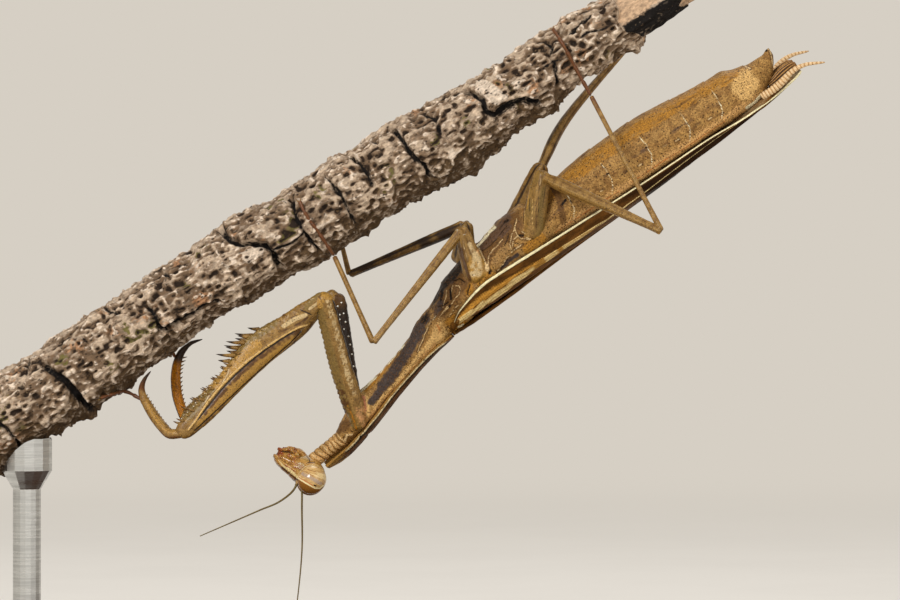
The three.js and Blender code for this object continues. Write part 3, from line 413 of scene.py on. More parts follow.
def buildBranch():
    look = barkLook
    along = np.linspace(-47.5, 47.5, look["rows"] + 1)[:, None] * np.ones(look["sides"])
    turn = np.linspace(0, 2 * math.pi, look["sides"], endpoint=False)[None, :]
    turn = turn * np.ones((look["rows"] + 1, 1))
    sizes = smoothAt(barkRadii, along)
    above, below = (sizes[:, k].reshape(along.shape) for k in (1, 2))
    radius = below + (above - below) * (1 + np.cos(turn)) / 2
    spot = np.stack([along, -radius * np.sin(turn), radius * np.cos(turn)], axis=-1)
    stretched = spot / (1.5, 1, 1)

    # How far each place is from the cracks. The far side has the same cracks, shifted along the branch.
    near = turn < math.pi
    mean = look["meanRadius"]
    around = np.where(near, turn, 2 * math.pi - turn) * mean
    shifted = np.where(near, along, along + look["farShift"])
    crack = np.zeros(along.shape)
    depth = np.zeros(along.shape)
    ragged = 0.14 * grain(spot, 0.9, 1) + 0.08 * grain(spot, 0.4, 2)
    for width, deep, *line in barkCracks:
        line = [(s, mean * math.acos(max(-1, min(1, n / look["crackRadius"])))) for s, n in line]
        cut = np.clip((width / 2 + 0.12 - nearLine(shifted, around, line) - ragged) / 0.24, 0, 1)
        crack = np.maximum(crack, cut)
        depth = np.maximum(depth, cut * deep)
    lumps = grain(spot / (1.7, 1, 1), 1.9, 3) + 0.6 * grain(stretched, 0.8, 4)
    crust = 1 - 2.4 * np.abs(grain(stretched, 0.5, 5)) + 0.9 * grain(stretched, 0.3, 6)
    plates = np.clip(grain(spot / (1.6, 1, 1), 1.7, 10) * 5 + ragged * 4, -1, 1)
    crusted = look["crust"] * (crust - 0.4) + look["plates"] * plates
    height = look["lumps"] * lumps + crusted * (1 - crack) - depth
    for s, degrees, long, wide, high in look["knobs"]:
        away = ((shifted - s) / long) ** 2 + ((around - mean * math.radians(degrees)) / wide) ** 2
        height = height + high * np.exp(-away) * (1 + 0.8 * grain(spot, 0.4, 11))

    # Past the ragged end of the bark the bare wood shows, with a strip of dark bark left under it.
    limit = look["barkEnd"] + 0.9 * grain(spot / (1e3, 1, 1), 1.4, 7) + 0.5 * np.cos(2 * turn)
    bare = np.clip((along - limit) / 0.25, 0, 1)
    fibres = 0.13 * grain(spot / (9, 1, 1), 0.35, 8)
    thin = look["woodRadius"] * (1 - 0.09 * np.clip(along - 40, 0, 8) / 8) + fibres
    shard = window(turn, 1.75, 2.9, 0.2) * window(along, 30, 43.4 + 0.5 * np.cos(9 * turn), 0.3)
    thin = thin + shard * (0.45 + 0.12 * grain(stretched, 0.5, 9))
    radius = (radius + height) * (1 - bare) + thin * bare
    points = np.stack([along, -radius * np.sin(turn), radius * np.cos(turn)], axis=-1)

    level = radius * np.cos(turn)
    patches = [(-38, 3.1, 0.9), (-31, 2.2, 1.2), (-26.5, 1.3, 0.8), (-23.3, 0.8, 0.9), (-21.5, 1.0, 0.5),
               (-15.5, 2.4, 0.6), (-16.5, -1.0, 0.9), (-10, 0.4, 1.0), (6.2, -2.9, 0.7), (18.5, 1.2, 0.7),
               (25, -1, 1.0), (34.5, 1.3, 0.6), (11.9, -3.9, 0.6), (21, 1.2, 1.0)]
    warm = np.zeros(along.shape)
    for s, n, size in patches:
        warm = np.maximum(warm, np.clip(1.3 - np.hypot((shifted - s) / 1.3, level - n) / size, 0, 1))
    pale = stroke(shifted, level, 1.7, [(20.6, 2), (21.2, 0.3)], soft=0.3)
    pale = np.maximum(pale, stroke(shifted, level, 1.3, [(-8.8, 0.3), (-10.2, 0.2)], soft=0.3))
    marks = {
        # Painted shade, darker where the crust lies low.
        "hollowShade": np.clip(0.75 - crust * 0.75 - 0.25 * plates, 0, 1) * (1 - bare),
        "warm": ((0.55 * warm + 0.5 * np.clip(grain(spot, 2.3, 12) * 3 - 1.2, 0, 1))
                 * (1 - crack) * (1 - bare)),
        # Painted highlight on the highest crests of the crust; the stroked pale plates are the bark's own
        # colour.
        "pale": (pale + 0.6 * np.clip(crust - 0.75, 0, 1) * 3) * (1 - crack) * (1 - bare),
        "moss": np.clip(3 * grain(spot, 1.9, 13) - 1.3, 0, 1) * np.clip(1.2 - 2 * crust, 0, 1) * (1 - bare),
        # Painted shade: near-black in the lowest pits of the crust.
        "pitShade": np.clip(0.25 - crust * 0.9, 0, 1) * (1 - bare),
        # Painted shade, darkening the underside of the branch.
        "under": 0.8 * np.clip((-level - 0.9 - 1.2 * crust) / 2.2, 0, 1) * (1 - bare),
        "clear": bare,
        # Near-black in the cracks: partly painted shade.
        "crack": np.maximum(crack * (1 - bare), shard * bare),
        "bare": bare * (1 - shard),
        "cut": window(along, 47.3, 50, 0.05) + window(along, -50, -47.3, 0.05),
    }
    return gridPiece("barkCoveredBranch", placed(perch, closedRings(points)), closedMarks(marks))


# Old bark, weathered and crusted with lichen: matt, brownish grey to cream, with near-black painted shade in
# its pits, darker painted shade in its hollows, cracks and underside, and painted highlights on the crests of
# its crust.
barkFinish = surface("weathered lichened bark", {
    "turn": (0, math.radians(branchSlope), 0), "stretch": (0.6, 1, 1),
    "base": "#BEA78E", "blotch": "#816A54", "blotchSize": 1.0, "blotchRange": (0.42, 0.6), "grainSize": 0.3,
    "specks": [("#2A2018", 0.4, 0.3, 0.6)], "shade": 0.5, "fray": 0.9,
    "marks": {"hollowShade": "#715A44", "warm": "#A87C58", "pale": "#D8C4AE", "moss": "#6E6438", "pitShade": "#281C12",
              "under": "#523E28", "crack": "#120D0A", "bare": "#C0A080", "cut": "#A98A62"},
    "roughness": 0.88, "bump": 0.9, "bumpDepth": 0.0002, "specular": 0.25})
settle(buildBranch(), barkFinish, "bark", "branch")
print("branch built")


# The trunk: neck, prothorax, thorax, abdomen and the beak of the ovipositor in one skin.

hindTable = [  # along, centre, depth to the belly, depth to the back, half width
    (-0.8, 1.2, 1.55, 2.4, 1.5), (0.5, 1.4, 2.05, 2.75, 2.2), (2, 1.6, 2.6, 2.7, 2.8), (4, 1.9, 2.85, 1.8, 3.2),
    (7, 2.2, 3.0, 1.3, 3.4), (9, 2.3, 3.45, 1.35, 3.5), (11, 2.3, 3.9, 1.4, 3.5), (13, 2.3, 3.9, 1.4, 3.4),
    (14.1, 2.3, 3.3, 1.2, 3.0), (14.5, 2.4, 3.0, 1.3, 2.9), (17.8, 2.4, 4.0, 1.6, 3.5),
    (22.6, 2.4, 4.5, 1.5, 3.85), (28, 2.4, 4.6, 1.25, 3.9), (33, 2.4, 4.05, 1.25, 3.75),
    (37, 2.45, 3.55, 1.4, 3.3), (38.8, 2.6, 3.4, 1.6, 3.0), (40, 2.7, 2.75, 1.75, 2.6),
    (41.6, 2.9, 2.1, 1.6, 2.1), (42.2, 3.2, 1.75, 1.4, 1.6), (42.9, 3.6, 1.35, 1.5, 1.2),
    (43.6, 3.8, 1.15, 0.95, 0.9), (44.2, 4.35, 0.85, 0.75, 0.6), (44.6, 4.75, 0.5, 0.45, 0.3)]
foreTable = [
    (-16.8, 0.35, 0.9, 1.1, 1.1), (-15.5, 0.4, 1.15, 1.3, 1.6), (-14, 0.5, 1.3, 1.4, 2.1),
    (-12.5, 0.7, 1.6, 1.4, 2.3), (-11, 0.7, 1.5, 1.15, 1.8), (-9, 0.6, 1.4, 1.0, 1.6),
    (-6, 0.6, 1.5, 1.0, 1.55), (-3.7, 0.7, 1.75, 1.2, 1.6), (-1.5, 1.0, 2.0, 1.95, 1.75),
    (0, 1.3, 1.8, 2.5, 1.8)]
trunkLook = {
    "sides": 150, "neckRows": 64, "squareness": 2.2,
    # start, end and number of the rings, which are closest on the thorax with its fine lines
    "stations": ((-16.8, -2.5, 120), (-2.4, 14.4, 220), (14.5, 44.6, 230)),
    "neckPath": [(-10.4, 1.45, 27.4), (-8.8, 1.35, 28.7), (-7.2, 1.2, 29.9)],
    "neckFolds": 6.6, "foldDepth": 0.12,
    "segmentEnds": (17.7, 22.7, 27.75, 32.75, 36.9, 41.4), "segmentRise": 0.08,
}
midline = [(14, 6.1), (17.8, 6.5), (24, 6.78), (28, 6.8), (31, 6.65), (34, 6.4), (37, 6.15), (41.6, 5.0),
           (44, 4.9)]
# Marks of the thorax and abdomen in the side view, tailwards and towards the belly: mark, width, lines.
hindMarks = [
    ("brown", 2.4, [(-0.5, 1.5), (1.5, 2.2), (3.4, 3)], [(7, 3.6), (9.5, 4.2), (11.5, 5)]),
    ("black", 1.0, [(-1.8, 2.4), (0, 3.05), (1.5, 3.65), (3, 4.0), (4.2, 4.4)]),
    ("black", 0.26, [(0.4, 2.4), (1, 3)], [(1.3, 1.8), (1.6, 2.3), (1.9, 2.8)], [(0.75, 1.2), (0.85, 1.3)]),
    ("black", 0.14, [(2.6, 3.4), (3.3, 3.2), (3.6, 2.5)], [(-0.1, 2.0), (0.3, 1.7), (0.9, 1.7)],
     [(3.1, 1.2), (3.9, 1.9)], [(9.3, 3.3), (9.7, 3.6), (10.3, 4.1)], [(10.4, 2.9), (10.7, 2.6)],
     [(12.9, 3.9), (13.4, 2.9), (13.2, 2.2)]),
    ("violet", 0.5, [(4, 3.6), (4.3, 4.4)], [(2.4, 3.3), (3.2, 3.8)], [(9.6, 4.4), (11, 4.8)]),
    ("gold", 1.2, [(3.5, 1.4), (3.7, 2.6)], [(11.2, 1.7), (13, 1.8)], [(5, 1.4), (6.3, 1.4)]),
    ("pale", 0.5, [(6.4, 2.2), (6.5, 3.4), (6.7, 4.5)], [(11.9, 2.6), (12.6, 2.6)]),
    ("pale", 0.1, [(0.2, 1.6), (0.8, 2.1), (1.5, 2.9)], [(1.3, 1.9), (1.9, 2.5), (2.3, 2.9)],
     [(0, 1.1), (1, 1.3), (1.7, 1.6), (2.3, 1.7), (2.8, 2.1), (2.8, 2.5), (2.5, 2.7)],
     [(0.2, 0.4), (1, 0.7), (2, 0.9)]),
    ("tan", 1.2, [(7.6, 2.4), (9.4, 2.9)]),
    ("violet", 1.0, [(7.1, 4.7), (8.5, 4.9), (10, 5.3), (11.2, 5.6)]),
    ("black", 0.1, [(7, 4.3), (8.2, 4.3), (9.6, 4.7), (10.7, 5.05)], [(9.9, 5.2), (11.2, 5.55)]),
    ("black", 0.3, [(10.8, 5.5), (11.1, 5.5)], [(6.3, 1.7), (6.6, 1.9)], [(11.3, 3.3), (11.6, 3.1)]),
    ("pale", 0.12, [(6.45, 2), (6.7, 2.6), (7.1, 3.2), (7.8, 3.6), (8.6, 3.78), (9.5, 3.98)],
     [(9.65, 2.5), (9.9, 3.1), (10.5, 3.8), (11.3, 4.3), (12, 4.9)], [(10, 2.8), (10.5, 3.3), (11, 3.4)],
     [(11.3, 4.3), (11.05, 3.6), (11.2, 3.0), (11.7, 2.6), (12, 2.9), (11.7, 3.5)],
     [(7.2, 1.55), (8, 1.75), (9, 2.15), (9.7, 2.35), (11, 2.35)]),
    # Painted highlight: the cream line on the lit rim along the top of the thorax plate.
    ("cream", 0.26, [(6.8, 4.95), (8, 5.15), (9.6, 5.55)]),
    ("slate", 1.3, [(-3, 1.4), (-1.4, 1.75), (0, 2.1)]),
    ("peach", 1.2, [(-2.4, -0.4), (-1.4, -0.2)]),
    ("pale", 0.12, [(-2.6, 0.8), (-1.4, 1.0), (-0.2, 1.15), (0.6, 1.4)],
     [(-0.6, 0.7), (-0.9, 0), (-1.1, -0.9)]),
    ("gold", 0.9, [(-0.5, 0.1), (0.5, 0)], [(-0.6, -0.9), (1, -1.0)]),
    ("cream", 0.15, [(-1.45, 1.85), (-1.15, 2.05)], [(-1.3, 1.25), (-1.1, 1.25)]),
    ("cream", 0.2, [(-0.9, -0.7), (-0.7, -0.95)], [(-0.3, -0.6), (0.1, -0.8)], [(0.3, -1.1), (0.9, -1.15)]),
    ("black", 0.2, [(-1.0, -0.9), (-0.4, -1.4)], [(-0.9, -0.3), (-0.4, -0.3)]),
    ("slate", 0.45, [(7.7, 1.5), (8.7, 1.7), (9.9, 1.75)]),
    # Painted shadow cast by the hind hip on the front of the abdomen.
    ("brown", 0.7, [(15.9, 1.6), (16.2, 2.4), (16.6, 3.2), (17, 4.2), (17.2, 5.2), (17.1, 5.9)]),
    ("black", 0.3, [(16.8, 3.5), (17.1, 3.55), (17.5, 3.75)]),
    ("black", 0.16, [(17.9, 3.15), (17.95, 3.4)], [(22.7, 3.45), (23, 3.55)], [(27.7, 3.5), (27.9, 3.6)]),
    ("orange", 0.1, [(14.5, 1.45), (17.5, 1.4), (22, 1.35), (27, 1.33), (32, 1.2), (36.5, 1.2)]),
    ("pale", 0.13, [(21.1, 2.45), (21.6, 2.42)], [(24.4, 2.65), (24.8, 2.72)], [(26.0, 2.4), (26.5, 2.36)],
     [(29.4, 2.6), (30, 2.64)], [(30.8, 2.35), (31.3, 2.33)], [(33.8, 2.55), (34.2, 2.57)],
     [(35.1, 2.3), (35.5, 2.3)]),
    ("peach", 0.45, [(36.5, 1.45), (37.8, 1.3), (38.9, 0.95)]),
    ("light", 1.9, [(40, 2.5), (41, 3.8)], [(39.8, 3.4), (41, 3)]),
    # Painted highlight: the cream on the pale membrane by the tail feeler's root.
    ("cream", 0.35, [(39.2, 1.05), (40.3, 1.1), (41.2, 1.4)]),
    ("black", 0.22, [(43.6, 5), (44, 5.15), (44.3, 5.0)], [(44.4, 4.9), (44.5, 5.1)]),
    ("pale", 0.13, [(41.5, 5), (41.9, 4.3)], [(44.5, 5.3), (44.75, 4.8), (44.4, 3.9), (44, 3.2)]),
]
foreMarks = [
    ("slate", 0.9, [(-11.8, 0.55), (-9.5, 0.75)]),
    ("slate", 1.35,
     [(-9.8, 0.8), (-8, 0.95), (-6, 1.25), (-4.4, 1.6), (-3, 1.95), (-1.6, 2.3), (0, 2.4), (1, 2.6)]),
    ("peach", 0.7, [(-13, -0.5), (-10, -0.35), (-6, -0.2), (-3.5, -0.1), (-1.5, 0.2)]),
    ("black", 0.9, [(-1.6, 2.4), (-0.4, 2.4), (0.8, 2.8)]),
    ("cream", 0.17, [(-12.2, 2.12), (-10, 1.98), (-7.5, 2.0), (-5, 2.15)]),
    ("pale", 0.12, [(-4.4, 0.6), (-2.6, 1.3), (-1.2, 1.6), (-0.1, 1.6), (-0.5, 0.5), (-1.1, -0.5), (-1.2, -1)]),
    ("gold", 0.4, [(-12, 1.85), (-9, 1.8), (-6.6, 2.0)]),
    ("peach", 1.2, [(-13.6, 0.0), (-12.6, 1.2)], [(-2.6, 0.1), (-1.4, 0.5)]),
    ("light", 0.45, [(-12, -0.1), (-9, 0.0), (-6, 0.1), (-4, 0.3)]),
    # The pale peach and pink patch beside the front hip: its own colour, painted paler to offset the hip's
    # shadow, so partly painted light.
    ("light", 1.0, [(-13.2, 0.1), (-12.3, 0.9), (-11.9, 1.9)]),
    ("pink", 0.9, [(-13, 0.7), (-12.3, 1.5)]),
    ("clear", 1.4, [(-13.2, 0.2), (-12.2, 1.6)]),
    ("light", 0.7, [(-3.4, 0.15), (-2.2, 0.4), (-1.1, 0.7)], [(-2.2, -0.2), (-0.9, -0.5), (-0.7, 0.8)]),
    ("gold", 0.5, [(-2.6, 0.2), (-1.8, 0.3)]),
    ("orange", 0.3, [(-1.3, 0.3), (-1.2, 0.7)]),
    ("clear", 1.6, [(-3.6, 0), (-1, 0.3)]),
    ("brown", 0.12, [(-1.5, 0.1), (-1.45, 0.7), (-1.1, 0.95), (-0.9, 0.6), (-1.05, 0.1), (-1.5, 0.1)],
     [(-4.5, 0.75), (-3, 1.2), (-1.6, 1.4), (0, 1.45)]),
    ("brown", 0.2, [(-3.6, 0.12), (-3.5, 0.15)], [(-14.8, -0.4), (-14.5, 1.6)], [(-5.3, 1.65), (-5.0, 1.6)]),
    ("orange", 0.16, [(-5.4, 0.8), (-5.1, 0.92)], [(-5.25, 1.62), (-5.1, 1.6)]),
    ("cream", 0.15, [(-0.5, 2.5), (-0.2, 2.62)], [(-0.6, 1.85), (-0.45, 1.85)], [(0.1, 1.5), (-1.2, 1.5)]),
    # Painted shade: brown under the front of the prothorax, beside the neck.
    ("brown", 1.1, [(-16.9, 1.3), (-15.4, 0.9)]),
    ("black", 0.35, [(-17, 1.7), (-15.2, 1.8)]),
    ("pale", 0.25, [(-16.8, -0.2), (-16.2, 0.1), (-15.8, -0.3)]),
]


def sectionPoints(sizes, along, squareness, angle):
    c, s = np.cos(angle)[None, :], np.sin(angle)[None, :]
    over, under, half = (sizes[:, k][:, None] for k in (2, 3, 4))
    across = np.sign(c) * np.abs(c) ** (2 / squareness) * half
    up = np.sign(s) * np.abs(s) ** (2 / squareness) * np.where(s > 0, over, under) + sizes[:, 1][:, None]
    return np.stack([along[:, None] + 0 * across, across, up], axis=-1)


def outwards(points, amount):  # moves a ring's points away from its middle
    away = points - points.mean(axis=1, keepdims=True)
    away[..., 0] = 0
    away /= np.linalg.norm(away, axis=-1, keepdims=True) + 1e-9
    return points + away * amount[..., None]


def paintLines(u, v, marks, table, weight):  # broad marks have soft edges
    for mark, width, *lines in table:
        drawn = stroke(u, v, width, *lines, soft=max(0.1, 0.45 * width)) * weight
        marks[mark] = np.maximum(marks.get(mark, 0), drawn)
        if mark == "pale" and width < 0.2:  # a raised ridge gets painted shade beside it
            ridgeShade = stroke(u, v, width + 0.34, *lines, soft=0.2) * weight * 0.75
            marks["brown"] = np.maximum(marks.get("brown", 0), ridgeShade)


def buildTrunk():
    look = trunkLook
    angle = np.linspace(0, 2 * math.pi, look["sides"], endpoint=False)
    stations = np.concatenate([np.linspace(*part) for part in look["stations"]])
    hind = sectionPoints(smoothAt(hindTable, stations), stations, look["squareness"], angle)
    fore = sectionPoints(smoothAt(foreTable, stations), stations, look["squareness"], angle)

    # Each segment of the abdomen widens to its end and overlaps the next.
    rise = np.zeros(len(stations))
    late = np.zeros(len(stations))
    ends = (14.3,) + look["segmentEnds"]
    for start, end in zip(ends, ends[1:]):
        share = (stations - start) / (end - start)
        inside = (share >= 0) & (share < 1)
        rise = np.where(inside, look["segmentRise"] * (share**4 - 0.35 * np.exp(-share * 14)), rise)
        late = np.where(inside, share, late)
    marks = {}
    u, v = seenFrom(hindBody, hind, hindSlope)
    weight = np.clip((stations + 2.2) / 3, 0, 1)[:, None] * np.ones(len(angle))
    weight = weight * weight * (3 - 2 * weight)
    onBody = np.clip((stations - 13.5) / 2, 0, 1)[:, None]
    top = np.interp(stations, [p[0] for p in midline], [p[1] for p in midline])[:, None]
    share = (v - 1.2) / (top - 1.2)
    belly = onBody * np.clip((43 - u) / 2, 0, 1)
    mottle = np.clip(0.5 + 0.8 * grain(hind / (1.6, 1, 1), 0.7, 12), 0, 1)
    streak = np.clip(0.5 + 0.9 * grain(hind / (4, 1, 1), 0.2, 13), 0, 1)
    marks["gold"] = window(share, 0.64, 0.95, 0.12) * belly * (0.5 + 0.5 * streak)
    marks["pale"] = window(share, 0.865, 0.885, 0.025) * belly * 0.6
    marks["pale"] = marks["pale"] + window(share, 1.02, 1.6, 0.05) * belly * 0.5
    marks["brown"] = window(share, 0.47, 0.64, 0.2) * belly * (0.1 + 0.55 * mottle * streak)
    scratch = np.clip(grain(hind / (9, 1, 1), 0.24, 23) * 2.6 - 0.5, 0, 1)
    marks["brown"] = np.maximum(marks["brown"], belly * window(share, 0.12, 1.0, 0.1) * 0.6 * scratch)
    seams = window(share, 0.635, 0.65, 0.012) + window(share, 0.935, 0.95, 0.012)
    marks["brown"] = np.maximum(marks["brown"], belly * 0.55 * seams)
    dash = window(share, 0.35, 0.45, 0.08) * belly * window(u, 0, 37.5)
    marks["violet"] = dash * (0.1 + 0.5 * late[:, None] + 0.5 * mottle) * (0.35 + 0.65 * streak)
    marks["violet"] = np.maximum(marks["violet"], stroke(u, v, 0.12, midline[1:7]) * belly)
    marks["peach"] = window(share, -0.3, 0.13, 0.14) * belly * 0.8
    for end in look["segmentEnds"][:5]:
        edge = [(end + 0.15, 5.6), (end + 0.22, 4), (end + 0.15, 2.8), (end - 0.1, 2.2), (end - 0.65, 1.5)]
        line = stroke(u, v, 0.14, edge, soft=0.12) * window(v, 1.2, 5.0, 1.5) * (0.75 + 0.25 * mottle)
        marks["cream"] = np.maximum(marks.get("cream", 0), line)
        dots = [[(end + 0.02, h), (end + 0.04, h + 0.05)] for h in (6.3, 5.9, 5.55, 5.0, 4.65, 4.3, 3.6)]
        marks["black"] = np.maximum(marks.get("black", 0), stroke(u, v, 0.1, *dots))
    paintLines(u, v, marks, hindMarks, 1.0)
    marks = {key: value * weight for key, value in marks.items()}
    uFore, vFore = seenFrom(foreBody, fore, foreSlope)
    paintLines(uFore, vFore, marks, foreMarks, 1 - weight)

    # Sutures stand out as ridges on the thorax, with painted shade in the hollows beside them.
    thorax = np.clip((14 - u) / 1, 0, 1)
    relief = rise[:, None] + thorax * (0.16 * marks["pale"] + 0.14 * marks["tan"] - 0.06 * marks["brown"])
    relief = relief - 0.16 * thorax * marks["black"]
    uneven = 0.09 * grain(hind, 1.4, 14) + 0.06 * grain(hind, 0.5, 17)
    relief = relief + uneven * thorax + 0.025 * grain(hind, 0.45, 15)
    body = placed(hindBody, outwards(hind, relief)) * weight[..., None]
    body = body + placed(foreBody, outwards(fore, relief)) * (1 - weight[..., None])

    # The neck: soft folds between the head and the front of the prothorax.
    path = pathThrough(look["neckPath"], look["neckRows"])[:-1]
    share = np.linspace(0, 1, look["neckRows"])[:-1]
    blend = np.clip((share - 0.6) / 0.4, 0, 1)
    over, under, half = (0.82 * (1 - blend) + blend * end for end in (0.9, 1.0, 1.1))
    zero = 0 * share
    rings = sectionPoints(np.stack([zero, zero, over, under, half], axis=1), zero, look["squareness"], angle)
    spot = rings + share[:, None, None] * (2.8, 0, 0)
    warp = share[:, None] + 0.05 * grain(spot, 0.9, 16) + 0.03 * np.sin(angle + 0.7)[None, :]
    phase = look["neckFolds"] * np.maximum(warp, 0) ** 1.25
    fold = np.abs(np.sin(math.pi * phase)) ** 0.5
    rings = outwards(rings, look["foldDepth"] * (fold - 0.8) + 0.03 * grain(spot, 0.8, 18))
    neck = rings @ foreBody[:3, :3].T + path[:, None, :]
    neckMarks = {key: 0 * rings[..., 0] for key in marks}
    # Painted shade: brown in the furrows between the folds; painted highlight: pale on their crests.
    neckMarks["brown"] = np.clip(2.2 - 3.5 * fold, 0, 1)
    neckMarks["pale"] = np.clip((fold - 0.7) * 3, 0, 1) * (0.6 + 0.4 * grain(spot, 0.5, 19))
    neckMarks["peach"] = (0.6 + 0.4 * grain(spot, 0.7, 20)) * (1 - neckMarks["brown"])
    neckMarks["clear"] = 1 - 0.6 * share[:, None] + 0 * rings[..., 0]
    marks = {key: np.concatenate([neckMarks[key], value]) for key, value in marks.items()}
    skin = np.concatenate([neck, body])
    return gridPiece("trunkSkin", closedRings(skin), closedMarks(marks))


# Tanned cuticle: hard, thin and a little waxy, freckled dark, with a satin shine.
trunkFinish = surface("tanned freckled cuticle", {
    "base": "#A67E45", "blotch": "#8A6434", "blotchSize": 0.7, "grainSize": 0.18, "shade": 0.5, "fray": 0.6,
    "specks": [("#63401F", 0.2, 0.36, 1.3), ("#38220F", 0.42, 0.25, 1.1)],
    "crisp": ("pale", "cream", "black", "orange"),
    "marks": {"gold": "#A8752B", "brown": "#6A4A26", "tan": "#957140", "peach": "#C2945A", "light": "#CFA566",
              "orange": "#A8662E", "pink": "#D08C66", "violet": "#5A4230", "slate": "#443832",
              "pale": "#CDAE7C", "cream": "#EADCB4", "black": "#1C130B"},
    "roughness": 0.48, "bump": 0.8, "bumpDepth": 0.0001, "specular": 0.12})
settle(buildTrunk(), trunkFinish, "abdomen", "neck", "prothorax", "pterothorax", "abdomen", "ovipositor")
print("trunk built")


# Wings.

tegmenTable = [  # along, half width, height of the front edge, depth of the side strip, crest
    (-0.6, 1.8, -0.6, 0.3, -1.6), (1.5, 3.3, 1.2, 0.9, -1.65), (6, 4.3, 2.45, 1.3, -1.5),
    (15, 4.5, 2.17, 1.3, -0.95), (25, 4.5, 1.84, 1.25, -0.55), (33, 4.1, 1.7, 1.1, 0.12),
    (38, 3.4, 1.25, 0.5, 0.38), (42, 2.4, 1.05, 0.25, 0.6), (45, 1.3, 1.15, 0.15, 0.85),
    (46.2, 0.5, 1.25, 0.1, 1.1)]
wingLook = {
    "rows": 380, "roofColumns": 34, "stripColumns": 20, "thickness": 0.34, "upperPast": 1.5, "lowerPast": 1.1,
    "layer": 0.65, "steepness": 2.4,
}


